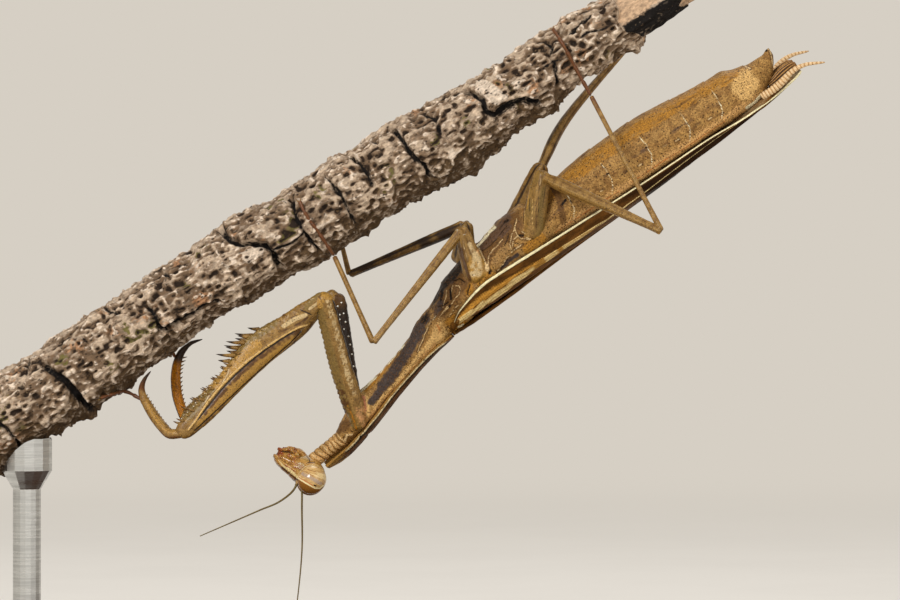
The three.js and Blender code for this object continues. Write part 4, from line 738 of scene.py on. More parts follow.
def buildTegmen(side):
    look = wingLook
    along = np.linspace(-0.6, 46.2, look["rows"])
    half, edge, strip, crest = smoothAt(tegmenTable, along)[:, 1:].T
    rib = half * 0.965 - 0.6 * np.maximum(0, 0.5 - strip)
    taper = np.minimum(half / 2.4, 1)
    past = (look["upperPast"] if side > 0 else look["lowerPast"]) * taper
    share = np.linspace(0, 1, look["roofColumns"])[None, :]
    across = -past[:, None] + share * (rib + past)[:, None]
    bend = np.minimum(np.abs(across) / rib[:, None], 1) ** look["steepness"]
    height = crest[:, None] + bend * (edge - strip - crest)[:, None]
    if side < 0:
        under = np.clip((across / taper[:, None] - 2.1) / 0.9, 0, 1)
        height = height + look["layer"] * taper[:, None] * (1 - under * under * (3 - 2 * under))
    down = np.linspace(0, 1, look["stripColumns"] + 1)[None, 1:]
    stripAcross = rib[:, None] + down * (half - rib)[:, None]
    stripHeight = (edge - strip)[:, None] + down * strip[:, None]
    outer = np.stack([np.concatenate([across, stripAcross], 1), np.concatenate([height, stripHeight], 1)], -1)
    run = np.gradient(outer, axis=1)
    run /= np.linalg.norm(run, axis=-1, keepdims=True) + 1e-9
    inward = np.stack([-run[..., 1], run[..., 0]], -1)

    # Veins: two stout ones beside the strip, a bead along the front edge, and thin ones over the roof.
    u = along[:, None] + 0 * outer[..., 0]
    v = outer[..., 1] * math.cos(rollOfBody) - np.abs(outer[..., 0]) * math.sin(rollOfBody)
    edgeV = (edge * math.cos(rollOfBody) - half * math.sin(rollOfBody))[:, None]
    fromEdge = edgeV - v
    onSide = outer[..., 0] > 0.45 * half[:, None]
    beadWidth = np.interp(along, [0, 1.5, 5, 10, 16, 25, 38, 46],
                          [0.1, 0.14, 0.24, 0.24, 0.17, 0.12, 0.1, 0.12])[:, None]
    bead = onSide * np.clip((beadWidth - fromEdge) / 0.05, 0, 1)
    ribs = [(0.5, -0.4, -0.85), (6, -0.22, -0.8), (10, -0.12, -0.6), (13, -0.1, -0.54), (15, -0.18, -0.52),
            (18, -0.3, -0.52), (20, -0.4, -0.5), (25, -0.26, -0.33), (28, -0.08, -0.14), (31, 0.08, 0.02),
            (34, 0.2, 0.15), (38, 0.3, 0.26), (42, 0.45, 0.42), (46, 1.0, 0.95)]
    first, second = (np.interp(along, [p[0] for p in ribs], [p[k] for p in ribs])[:, None] for k in (1, 2))
    line = 0.5 + 0.5 * np.cos(2 * math.pi * 2 * (v - second) / (first - second))
    stout = np.clip((v - second + 0.07) / 0.06, 0, 1) * np.clip((first + 0.05 - v) / 0.06, 0, 1) * onSide
    stout = stout * np.where(first - second > 0.1, 0.6 + 0.4 * line, 1)
    rung = 0.5 + 0.5 * np.sin(2 * math.pi * u / 0.26)
    # Painted shadow: gaps in the stout veins at 10.6 to 11.9 and 13.7 to 14.2.
    ribShadow = 0.8 * window(u, 10.6, 11.9, 0.5) + 0.7 * window(u, 13.7, 14.2, 0.4)
    field = onSide * (v > first) * (fromEdge > 0.25)
    depth = np.clip((fromEdge - 0.2) / (edgeV - first - 0.1), 0, 1)
    start = np.interp(along, [0.5, 3, 6, 10, 14, 20], [0, 0.1, 0.3, 0.5, 0.75, 1.2])[:, None]
    ochre = field * np.clip((depth - start) / 0.4, 0, 1)
    lines = np.abs(((outer[..., 0] + 0.12 * np.sin(u / 3)) / 0.42) % 1 - 0.5)
    veins = np.clip((lines - 0.38) / 0.1, 0, 1) * (outer[..., 0] < rib[:, None] * 0.8)
    raised = 0.08 * bead + 0.06 * stout + 0.03 * veins + 0.02 * field * rung
    outerPoints = outer - inward * raised[..., None]
    thinner = np.minimum(strip / 0.6 + 0.3, 1)[:, None, None]
    thickness = look["thickness"] * np.clip(fromEdge / 0.5 + 0.5, 0.7, 1)[..., None] * thinner
    innerPoints = outer + inward * thickness
    section = np.concatenate([outerPoints, innerPoints[:, ::-1]], 1)
    points = np.stack([along[:, None] + 0 * section[..., 0], side * section[..., 0], section[..., 1]], -1)

    tip = np.clip((u - 41.5) / 2, 0, 1)
    marks = {
        # Painted shadow: the dark brown groove just under the bead along the front edge.
        "groove": field * (1 - ochre) * (0.45 + 0.15 * np.clip(1 - depth * 4, 0, 1)),
        "deep": onSide * (fromEdge > 0.2) * (0.25 * np.clip((u - 12) / 8, 0, 1)
                                             + 0.6 * np.clip((u - 20) / 6, 0, 1)),
        "ochre": ochre * (0.65 + 0.35 * rung),
        "rib": stout * (1 - ribShadow) * (0.75 + 0.25 * rung) * np.clip(1.15 - u / 60, 0, 1),
        "horn": onSide * (v < first) * (v > second - 0.05) * np.clip((20 - u) / 3, 0, 1) * 0.9,
        "bead": np.maximum(bead * np.clip(0.45 + u / 6, 0, 1),
                           0.8 * tip * (fromEdge < 0.2) * (0.4 + 0.6 * rung)),
        "vein": veins,
    }
    bothWalls = {key: np.concatenate([value + 0 * u, (0.4 * value + 0 * u)[:, ::-1]], 1)
                 for key, value in marks.items()}
    name = "tegmenLeft" if side > 0 else "tegmenRight"
    return gridPiece(name, placed(hindBody, closedRings(points)), closedMarks(bothWalls))


# A leathery front wing: horn-brown and half dry, cream along its front edge, with raised pale veins.
wingFinish = surface("leathery wing cuticle", {
    "turn": (0, math.radians(hindSlope), 0), "stretch": (0.3, 1, 1),
    "base": "#6A4318", "blotch": "#4A2E0E", "blotchSize": 0.8, "grainSize": 0.14, "shade": 0.4, "fray": 0.3,
    "crisp": ("bead", "rib"),
    "marks": {"vein": "#86622F", "groove": "#48290A", "horn": "#B08038", "ochre": "#BC8536",
              "deep": "#241204", "rib": "#F0D492", "bead": "#F2E6B8"},
    "roughness": 0.55, "bump": 0.6, "bumpDepth": 0.00008, "specular": 0.06})
for side, nodeName in ((1, "tegmen_left"), (-1, "tegmen_right")):
    settle(buildTegmen(side), wingFinish, "wing", nodeName)

hindwingTable = [
    (42.4, 1.95, 0.3, 0.3, 0.35), (43.2, 2.05, 0.45, 0.4, 0.5), (44.4, 2.2, 0.6, 0.45, 0.5),
    (45.5, 2.3, 0.5, 0.4, 0.4), (46.1, 2.3, 0.2, 0.2, 0.2)]


def buildHindwing(side):
    angle = np.linspace(0, 2 * math.pi, 72, endpoint=False)
    along = np.linspace(42.4, 46.1, 60)
    points = sectionPoints(smoothAt(hindwingTable, along), along, 2, angle)
    pleat = np.cos(11 * angle)[None, :] * np.ones((60, 1))
    points = outwards(points, 0.05 * pleat)
    points[..., 1] += side * 0.65
    ends = np.clip((along - 45.3) / 0.7, 0, 1)[:, None] + 0 * pleat
    marks = {"pleat": np.clip(pleat * 1.5, 0, 1), "rim": ends}
    name = "hindwingTipLeft" if side > 0 else "hindwingTipRight"
    return gridPiece(name, placed(hindBody, closedRings(points)), closedMarks(marks))


hindwingFinish = surface("pleated wing membrane", {  # a folded fan, smoky brown with paler pleats
    "base": "#5A3A1A", "blotch": "#3A2410", "blotchSize": 0.5, "grainSize": 0.12, "shade": 0.3, "fray": 0.4,
    "marks": {"pleat": "#B08248", "rim": "#8A6236"}, "roughness": 0.45, "bump": 0.4, "specular": 0.2})
for side, nodeName in ((1, "hindwing_left"), (-1, "hindwing_right")):
    settle(buildHindwing(side), hindwingFinish, "hind_wing", nodeName)
print("wings built")


# The shield behind the head.

pronotumTable = [  # along, half width, height of the edge, height of the keel
    (-20.3, 0.9, -0.6, -1.0), (-18.8, 1.6, -0.45, -1.5), (-17, 2.1, -0.5, -1.72), (-14.8, 2.6, -0.36, -1.68),
    (-12.6, 2.8, -0.2, -1.55), (-10, 2.0, -0.12, -1.28), (-7.5, 1.7, -0.06, -1.1), (-5, 1.7, -0.05, -1.0),
    (-2.8, 1.7, -0.2, -1.02), (-1.6, 1.5, -0.48, -1.12), (-0.6, 1.0, -0.8, -1.15)]
pronotumLook = {
    "rows": 190, "columns": 64, "thickness": 0.4, "roundness": 1.6, "beads": 0.3, "beadRise": 0.05,
}


def buildPronotum():
    look = pronotumLook
    along = np.linspace(-20.3, -0.6, look["rows"])
    half, edge, keel = smoothAt(pronotumTable, along)[:, 1:].T
    share = np.sin(np.linspace(-1, 1, look["columns"]) * math.pi / 2)[None, :]
    across = share * half[:, None]
    height = keel[:, None] + np.abs(share) ** look["roundness"] * (edge - keel)[:, None]
    outer = np.stack([across, height], -1)
    run = np.gradient(outer, axis=1)
    run /= np.linalg.norm(run, axis=-1, keepdims=True) + 1e-9
    inward = np.stack([-run[..., 1], run[..., 0]], -1)
    u = along[:, None] + 0 * across
    v = height * math.cos(rollOfBody) - np.abs(across) * math.sin(rollOfBody)
    fromEdge = np.where(np.abs(share) > 0.4, v[:, -1:] - v, 1)
    rim = np.clip((0.13 - fromEdge) / 0.04, 0, 1) * window(u, -17.8, -1.2, 1.2)
    bead = rim * (0.5 + 0.5 * np.cos(2 * math.pi * u / look["beads"])) * np.clip((-11 - u) / 4, 0.25, 1)
    ridge = np.exp(-(across / 0.14) ** 2)
    groove = np.exp(-((u + 14.6 + 0.25 * np.abs(across)) / 0.22) ** 2)
    spot = np.stack([u, across, height], -1)
    raised = look["beadRise"] * (rim + bead) + 0.09 * ridge - 0.12 * groove + 0.02 * grain(spot, 0.5, 21)
    outerPoints = outer - inward * raised[..., None]
    thin = 0.25 + 0.75 * np.clip((1 - np.abs(share)) / 0.12, 0, 1)
    innerPoints = outer + inward * (look["thickness"] * thin)[..., None]
    section = np.concatenate([outerPoints, innerPoints[:, ::-1]], 1)
    points = np.stack([along[:, None] + 0 * section[..., 0], section[..., 0], section[..., 1]], -1)
    # Painted shadow: the dark strip just below the cream rim, under the shield's edge.
    marks = {"rim": rim * (0.75 + 0.25 * bead),
             "dark": 0.8 * window(fromEdge, 0.15, 0.3, 0.06) * window(u, -17.6, 0) + 0.5 * groove,
             "tan": np.clip((-17.2 - u) / 1.2, 0, 1) * (0.7 + 0.3 * np.sin(9 * fromEdge)),
             "keel": ridge * 0.8, "worn": np.clip(grain(spot / (2.5, 1, 1), 0.9, 22), 0, 1)}
    inside = {"rim": 0, "dark": 0, "tan": 0.85}  # the underside has the colour of the skin above it
    marks = {key: np.concatenate([value + 0 * u, (inside.get(key, value) + 0 * u)[:, ::-1]], 1)
             for key, value in marks.items()}
    return gridPiece("pronotumShield", placed(foreBody, closedRings(points)), closedMarks(marks))


pronotumFinish = surface("olive brown shield cuticle", {  # hard and satin, with a cream beaded rim
    "turn": (0, math.radians(foreSlope), 0), "stretch": (0.5, 1, 1),
    "base": "#6A4014", "blotch": "#4C2E0E", "blotchSize": 0.8, "grainSize": 0.15, "shade": 0.4, "fray": 0.35,
    "specks": [("#2E1E0C", 0.36, 0.25, 0.8)],
    "marks": {"worn": "#86622F", "keel": "#54381A", "tan": "#A0783C", "dark": "#1C1208", "rim": "#EAD4A2"},
    "roughness": 0.55, "bump": 0.5, "bumpDepth": 0.00008, "specular": 0.03})
settle(buildPronotum(), pronotumFinish, "pronotum", "pronotum")
print("shield built")


# Legs.

def limbRings(path, table, bend, rows, sides):  # rings square to a smooth path, with their depth towards bend
    curve = pathThrough(path, 300)
    length = np.linalg.norm(np.diff(curve, axis=0), axis=1).sum()
    share = np.linspace(table[0][0], table[-1][0], rows)
    at = np.clip(share, 0, 1)
    steps = np.linspace(0, 1, len(curve))
    centre = np.stack([np.interp(at, steps, curve[:, k]) for k in range(3)], 1)
    run = np.gradient(curve, axis=0)
    along = np.stack([np.interp(at, steps, run[:, k]) for k in range(3)], 1)
    along /= np.linalg.norm(along, axis=1, keepdims=True)
    depth, width, lift = smoothAt(table, share)[:, 1:].T
    for fromEnd, end in ((share - share[0], 0), (share[-1] - share, -1)):  # both ends are rounded off
        close = np.clip(fromEnd * length / (0.7 * depth[end] + 1e-6), 0, 1)
        dome = np.sqrt(1 - (1 - close) ** 2)
        depth, width = depth * (0.08 + 0.92 * dome), width * (0.08 + 0.92 * dome)
    deep = np.array(bend, float) - (along @ np.array(bend, float))[:, None] * along
    deep /= np.linalg.norm(deep, axis=1, keepdims=True)
    wide = np.cross(deep, along)
    centre = centre + along * ((share - at) * length)[:, None] + deep * lift[:, None]
    angle = np.linspace(0, 2 * math.pi, sides, endpoint=False)
    c, s = np.cos(angle)[None, :, None], np.sin(angle)[None, :, None]
    rings = centre[:, None] + wide[:, None] * c * width[:, None, None]
    rings = rings + deep[:, None] * s * depth[:, None, None]
    return rings, share[:, None] + 0 * c[..., 0], angle[None, :] + 0 * share[:, None]


def swollen(rings, amount):
    away = rings - rings.mean(axis=1, keepdims=True)
    return rings + away / (np.linalg.norm(away, axis=-1, keepdims=True) + 1e-9) * amount[..., None]


def spikePiece(name, root, tip, radius, hook=(0, 0, 0), tipMark="dark", sides=7):
    root, tip = np.array(root, float), np.array(tip, float)
    run = tip - root
    start = root - 0.25 * radius * run / np.linalg.norm(run)
    middle = (root + tip) / 2 + np.array(hook, float)
    side = np.cross(run, (0.3, 0.9, 0.2))
    thinning = ((0, 1), (0.25, 0.8), (0.7, 0.42), (1, 0.08))
    table = [(share, radius * part, radius * part, 0) for share, part in thinning]
    rings, share, _ = limbRings([start, middle, tip], table, side, 8, sides)
    return gridPiece(name, closedRings(rings), closedMarks({tipMark: np.clip((share - 0.4) / 0.4, 0, 1)}))


def onBark(place, lift):
    s, turn = place[0], math.radians(place[1])
    sizes = smoothAt(barkRadii, [s])[0]
    radius = sizes[2] + (sizes[1] - sizes[2]) * (1 + math.cos(turn)) / 2 + lift
    return placed(perch, np.array([s, -radius * math.sin(turn), radius * math.cos(turn)]))


limbTables = {  # share of the length, half depth, half width, shift towards the bend
    "foreCoxa": [(-0.06, 0.7, 0.7, 0.3), (0.04, 0.85, 0.85, 0.35), (0.2, 1.12, 0.9, 0.2), (0.5, 1.14, 0.8, 0),
                 (0.85, 1.06, 0.72, 0), (0.98, 1.0, 0.75, 0), (1.06, 0.8, 0.65, 0)],
    "foreFemur": [(-0.03, 0.7, 0.5, 0.55), (0.05, 0.85, 0.55, 0.65), (0.12, 1.05, 0.7, 0.75),
                  (0.22, 1.45, 0.85, 0.7), (0.42, 1.8, 0.95, 1.0), (0.55, 1.55, 0.9, 0.75),
                  (0.7, 1.3, 0.8, 0.35), (0.87, 1.15, 0.7, 0.05), (0.97, 1.0, 0.65, 0.05),
                  (1.02, 0.6, 0.5, 0.05)],
    "foreTibia": [(-0.03, 0.45, 0.4, 0), (0.1, 0.56, 0.48, 0), (0.35, 0.56, 0.46, 0), (0.55, 0.52, 0.42, 0),
                  (0.68, 0.43, 0.36, 0), (0.8, 0.32, 0.27, 0), (0.92, 0.17, 0.15, 0), (1, 0.05, 0.05, 0)],
    "trochanter": [(0, 0.6, 0.6, 0), (0.5, 0.85, 0.75, 0), (1, 0.7, 0.65, 0)],
    "midCoxa": [(-0.05, 1.5, 1.2, 0), (0.3, 1.2, 1.0, 0), (0.7, 0.9, 0.8, 0), (0.98, 0.72, 0.65, 0),
                (1.08, 0.4, 0.38, 0)],
    "hindCoxa": [(-0.05, 1.3, 1.1, 0), (0.3, 1.15, 1.1, 0), (0.7, 1.0, 0.95, 0), (1, 0.8, 0.75, 0),
                 (1.1, 0.45, 0.45, 0)],
    "midFemur": [(0, 0.55, 0.5, 0), (0.08, 0.5, 0.42, 0), (0.2, 0.5, 0.42, 0), (0.6, 0.4, 0.34, 0),
                 (0.94, 0.33, 0.3, 0),
                 (1, 0.36, 0.32, 0)],
    "hindFemur": [(0, 0.62, 0.55, 0), (0.05, 0.55, 0.48, 0), (0.15, 0.7, 0.56, 0), (0.5, 0.58, 0.45, 0),
                  (0.93, 0.4, 0.34, 0), (1, 0.45, 0.36, 0)],
    "walkingTibia": [(0, 0.36, 0.32, 0), (0.06, 0.34, 0.3, 0), (0.5, 0.27, 0.25, 0), (0.95, 0.27, 0.25, 0),
                     (1, 0.24, 0.24, 0)],
}
legs = {  # joints from hip to ankle, and the toes' places along the branch and degrees round it
    "fore_right": {"hip": (-5.8, -1, 31.6), "trochanter": (-9, -5.2, 44.4), "knee": (-24.1, -7.4, 30.6),
                   "ankle": (-28.6, -3.4, 34.1), "claw": (-27.5, -4.9, 37.2),
                   "toes": [(-29.1, 170), (-30.2, 153), (-31.7, 144)],
                   "shin": [(-25.4, -6.9, 30.6), (-26.2, -6.3, 31.3), (-27.2, -5.3, 32.5), (-27.9, -4.6, 33.55),
                            (-28.4, -4.1, 34.4), (-28.55, -4.2, 35.3), (-28.2, -4.6, 36.3)]},
    "fore_left": {"hip": (-6.3, 2.4, 31.8), "trochanter": (-7.9, -0.4, 44.7), "knee": (-24.2, 1.5, 31.7),
                  "ankle": (-25.4, 2.6, 38.5), "claw": (-22.4, 1.8, 40.5),
                  "toes": [(-22.8, 233), (-23, 260), (-24.5, 267)],
                  "shin": [(-25.1, 1.9, 34.2), (-25.35, 2.3, 36.3), (-25.2, 2.6, 37.9), (-24.7, 2.4, 39.1),
                           (-23.7, 2.1, 40.05)]},
    "mid_right": {"hip": (7.3, -3, 46.9), "trochanter": (5.5, -4.6, 52.1), "knee": (-3.8, -8.6, 40.2),
                  "ankle": (-8, -5.2, 49.4), "toes": [(-2.5, 110), (-2.6, 80), (-2.4, 58)]},
    "mid_left": {"hip": (5.8, 2.2, 48.8), "trochanter": (6, -0.6, 52.8), "knee": (-6.7, 6.6, 47.5),
                 "ankle": (-8.6, 3.2, 55.6), "stoutness": 1.25, "shade": 0.75,
                 "toes": [(-1.1, 285), (-3.3, 287), (-5.4, 286)]},
    "hind_right": {"hip": (12.9, -3.2, 51.3), "trochanter": (14.1, -4.4, 57.9), "knee": (26.3, -14.6, 51.9),
                   "ankle": (19.3, -5.2, 66.4), "toes": [(29.9, 119), (30.1, 73), (30.2, 28)]},
    "hind_left": {"hip": (11.5, 2, 53.2), "trochanter": (14, -1, 58.8), "bow": (16.4, 1.6, 63.6),
                  "knee": (23.9, 6.6, 72.7), "ankle": (8.6, 3, 64.4), "shade": 0.4,
                  "toes": [(17.9, 265), (15.5, 267), (13.4, 267)]},
}
spinyFace = np.array((-0.67, -0.1, 0.74))
thighStart, thighSlope = (-8.82, 44.73), 41.9
# The front thigh in the side view, from its root (0) to the knee (-21), and towards its spines.
thighMarks = [
    ("gold", 1.3, [(-19, -0.9), (-15, -0.35), (-10, -0.15), (-6, -0.5)], [(-15, 1.3), (-9, 1.5)]),
    ("olive", 1.0, [(-19.5, 0.7), (-16, 1.2), (-12.5, 1.7), (-9, 2.3), (-6, 2.1)]),
    ("brown", 0.62,
     [(-18.5, -0.3), (-16, 0.1), (-14, 0.32), (-12, 0.38), (-10, 0.3), (-8, 0.1), (-6, -0.15), (-4.6, -0.4)]),
    ("dark", 0.24,
     [(-19, -0.2), (-17, 0.12), (-15, 0.48), (-13, 0.64), (-11, 0.64), (-9, 0.5), (-7, 0.25), (-5, -0.1)]),
    ("dark", 0.15, [(-20, -0.95), (-17, -0.9), (-14, -0.82), (-10, -0.78), (-6, -0.8), (-4, -0.62)]),
    ("brown", 0.25, [(-9, 2.85), (-7, 2.7), (-5.5, 2.35), (-4.4, 2.0), (-2.5, 1.95), (-0.5, 1.6)]),
    ("brown", 0.3, [(-6, 0.85), (-5, 0.5), (-4, 0.15), (-2.9, 0.05)], [(-4.6, 1.9), (-4.2, 1.2), (-3.6, 0.9)]),
    ("dark", 0.15, [(-2.9, 1.2), (-2.6, 0.5), (-2.4, 0)]),
    ("pale", 0.5, [(-5.4, 1.1), (-4, 0.85), (-2.9, 0.4)]),
    ("olive", 0.6, [(-2.3, 0.9), (-1.4, 1.1), (0, 1.1)]),
    ("pale", 0.3, [(-2.1, 0.6), (-1, 0.5), (0, 0.5)]),
    ("pale", 0.12, [(-14.6, 0.85), (-13.4, 1.25), (-12.9, 1.6)], [(-17.2, 0.6), (-16.3, 0.95)]),
    ("ridge", 0.2, [(-20.5, -0.35), (-19, -0.1), (-17, 0.42), (-15, 0.74), (-13, 0.89), (-11, 0.89),
                    (-9, 0.74), (-7, 0.49), (-5.5, 0.22), (-4.2, -0.1), (-3.3, -0.5)]),
]
tubercles = [  # white beads on the inner face of the left front hip: share of its length, place across
    (0.98, 0.5), (0.95, 0.08), (0.89, 0.6), (0.88, 0.18), (0.84, 0.1), (0.82, 0.68), (0.76, 0.42), (0.7, 0.78),
    (0.7, 0.2), (0.63, 0.84), (0.62, 0.35), (0.55, 0.9), (0.52, 0.4), (0.45, 0.9), (0.36, 0.86), (0.27, 0.9)]
hipMarks = [  # on the middle and hind hips, in the side view of the hind body
    ("gold", 1.9, [(5.1, 2.2), (5.6, 3.5)]),
    ("pale", 1.1, [(5.35, 2.5), (5.7, 3.2), (6.2, 4.1)], [(4.9, 2.7), (5.3, 3.2)]),
    ("pale", 0.5, [(6.1, 4.2), (6.3, 5.6)]),
    ("gold", 0.6, [(4.3, 1.8), (5.4, 1.75), (6.2, 2.0)], [(6.6, 3.0), (6.8, 4.2)]),
    # Painted highlight: the white stroke from (4.8, 2.5) to (5.1, 3.1).
    ("white", 0.1, [(4.8, 2.5), (5.0, 2.8), (5.1, 3.1)], [(6.3, 6.8), (6.5, 6.7)]),
    ("pale", 0.12, [(5.1, 4.2), (5.5, 5.3), (5.85, 6.2)], [(5.9, 4.6), (6.3, 5.8)]),
    ("peach", 0.45, [(6.5, 4.3), (6.9, 4.5)]),
    ("brown", 0.28, [(5.9, 3.75), (6.5, 3.7)]),
    # Painted shade on the front side of the middle hip.
    ("brown", 0.45, [(4.2, 2.4), (4.7, 4.2), (5.2, 5.6)]),
    ("brown", 0.12, [(6.3, 4.9), (6.5, 6.0)], [(7, 5), (7.3, 6.2)]),
    # Painted shade: the dark band stands for the left leg's trochanter in shadow.
    ("dark", 0.5, [(12.1, 5.2), (13.2, 6.3), (14.4, 7.4)]),
    ("gold", 0.2, [(13.6, 5.3), (14.6, 6.5), (15.6, 7.6)]),
    ("pale", 0.12, [(13.3, 5.4), (14.2, 6.5), (15.2, 7.5)], [(16.1, 6.6), (16.7, 7.3)]),
    ("ridge", 0.1, [(12.9, 3.2), (13.6, 4.4), (14.6, 5.8)], [(12.4, 4.0), (13.2, 5.2)]),
    ("brown", 0.14, [(12.5, 4.4), (13.4, 5.6), (14.2, 6.6)], [(13.2, 3.0), (14, 4.2), (15.2, 5.8)]),
    ("olive", 0.55, [(13.3, 1.7), (13.9, 3.1), (14.8, 4.6), (16.2, 6.1)]),
    ("dark", 0.12, [(14.3, 4.2), (15.4, 5.8), (16.2, 6.8)], [(15.0, 4.4), (16.6, 6.2)],
     [(13.6, 4.9), (14.4, 6)]),
]


def coxaPiece(leg, joints, fore):
    table = limbTables["foreCoxa" if fore else leg.split("_")[0] + "Coxa"]
    rings, share, angle = limbRings([joints["hip"], joints["trochanter"]], table, (1, 0, 0), 100, 56)
    near = leg.endswith("right")
    if fore:
        front = np.sin(angle)  # 1 towards the abdomen, -1 towards the head
        warts = np.clip(grain(rings, 0.24, 32) * 2.2 - 0.5, 0, 1)
        edge = np.clip((-front - 0.75) * 5, 0, 1) * np.abs(np.sin(share * 75))
        ridge = np.exp(-((front + 0.05 + 0.3 * (1 - share)) / 0.16) ** 2) * (np.cos(angle) < 0)
        rings = swollen(rings, 0.03 * grain(rings, 0.5, 31) + 0.05 * warts + 0.14 * edge + 0.08 * ridge)
        if near:
            low = np.clip((0.55 - share) / 0.3, 0, 1) * np.clip((share - 0.06) / 0.1, 0, 1)
            freckled = np.clip(grain(rings, 0.22, 34) * 2.4 - 0.4 + 1.3 * low, 0, 1)
            marks = {"olive": np.clip((-front + 0.1) * 2.2, 0, 1) * 0.8, "gold": ridge * 0.9,
                     "pale": (window(front, 0.15, 0.75, 0.25) * (0.6 + 0.6 * grain(rings, 0.16, 33))
                              * np.clip(share * 4 - 0.4, 0, 1)),
                     "brown": freckled * np.clip((0.1 - front) * 2, 0, 1) * (0.25 + 0.6 * low),
                     "dark": window(front, 0.88, 1.2, 0.1) * np.clip((share - 0.3) / 0.2, 0, 0.8),
                     "peach": (np.clip((0.26 - share) / 0.2, 0, 1) * np.clip(front + 0.8, 0, 1)
                               * (0.6 + 0.4 * grain(rings, 0.5, 47))),
                     "amber": np.exp(-((front + 0.5) / 0.25) ** 2) * np.clip((0.3 - share) / 0.2, 0, 1) * 0.7}
        else:
            marks = {"dark": 0.95 - 0.5 * np.clip((share - 0.9) / 0.08, 0, 1),
                     "peach": np.clip((0.03 - share) / 0.1, 0, 1),
                     "brown": 0.8 * np.clip((share - 0.85) / 0.1, 0, 1)}
    else:
        keels = np.cos(4 * angle + 0.9)
        rings = swollen(rings, 0.1 * keels + 0.03 * grain(rings, 0.5, 35))
        # Painted shade: darker in the furrows, and more dark and brown on the far hips than on the near ones.
        marks = {"dark": (np.clip(-keels * 1.6 - 0.5, 0, 1) * (0.2 if near else 0.8)
                          * np.clip(share * 4, 0.2, 1)),
                 "pale": np.clip(keels * 1.5 - 0.6, 0, 1) * (0.3 if near else 0.5),
                 "olive": (0.1 if leg == "mid_right" else 0.75) * (0.6 + 0.4 * grain(rings, 1.0, 36)),
                 "brown": (0 if near else 0.5) + 0 * share}
        if near:
            u, v = seen(rings, hindStart, hindSlope)
            paintLines(u, v, marks, hipMarks, 0.85)
            marks["pale"] = marks["pale"] * np.clip(0.95 + 0.7 * grain(rings, 0.4, 46), 0.4, 1)
    return gridPiece(leg + "Hip", closedRings(rings), closedMarks(marks))


def frontThigh(leg, joints):
    start, end = np.array(joints["trochanter"], float), np.array(joints["knee"], float)
    rings, _, _ = limbRings([start, end], limbTables["foreFemur"], spinyFace, 200, 80)
    shift = (1.0, 0, 0.6) if leg == "fore_left" else (0, 0, 0)  # lays the marks on the left thigh too
    u, v = seen(rings + shift, thighStart, thighSlope)
    marks = {}
    paintLines(u, v, marks, thighMarks, 1.0)
    patchy = np.clip(0.6 + 0.9 * grain(rings, 0.35, 42), 0, 1)
    lower = window(v, -1.6, -0.85, 0.25) * 0.7 * (0.3 + 0.7 * patchy)
    marks["brown"] = np.maximum(marks["brown"] * (0.35 + 0.65 * patchy), lower)
    grit = np.clip(grain(rings, 0.16, 37) * 1.4, 0, 1) * (v > 1.0)
    relief = 0.13 * marks["ridge"] - 0.1 * marks["dark"] - 0.03 * marks["brown"]
    relief = relief + 0.07 * grit + 0.02 * grain(rings, 0.4, 38)
    marks["pale"] = np.maximum(marks["pale"], grit * 0.6)
    pieces = [gridPiece(leg + "Thigh", closedRings(swollen(rings, relief)), closedMarks(marks))]
    along = (end - start) / np.linalg.norm(end - start)
    out = spinyFace - (spinyFace @ along) * along
    out /= np.linalg.norm(out)
    wide = np.cross(out, along)

    def grows(at, sideways, length, slant, radius, tipMark="pale"):
        _, depth, width, lift = smoothAt(limbTables["foreFemur"], [at])[0]
        root = start + (end - start) * at + wide * sideways * width
        root = root + out * (lift + depth * math.sqrt(1 - sideways**2) - 0.08)
        tip = root + out * length + wide * sideways * 0.3 * length + along * slant * length
        hook = along * 0.06 * length - out * 0.02
        pieces.append(spikePiece("thighSpine", root, tip, radius, hook, tipMark))

    # The pale tips of the short spines are painted glints.
    for i in range(13):
        at = 0.5 + 0.445 * i / 12
        long = i % 2 == 0
        radius, tipMark = (0.19, "brown") if long else (0.13, "pale")
        grows(at, 0.62, 0.85 if long else 0.42, 0.6, radius, tipMark)
        grows(at + 0.02, -0.62, 0.8 if long else 0.4, 0.6, radius, tipMark)
    for i, length in enumerate((1.0, 1.55, 1.1, 1.6, 1.0)):
        grows(0.4 + 0.04 * i, 0.35 if i % 2 else -0.1, length, 1.0, 0.3, "dark")
    for i in range(22):
        grows(0.2 + 0.012 * i, 0.62 - 0.02 * i, 0.13, 0.3, 0.09)
    for i in range(12):
        grows(0.7 + 0.022 * i, 0.35 if i % 2 else -0.2, 0.34, 0.5, 0.1, "white")
    return pieces


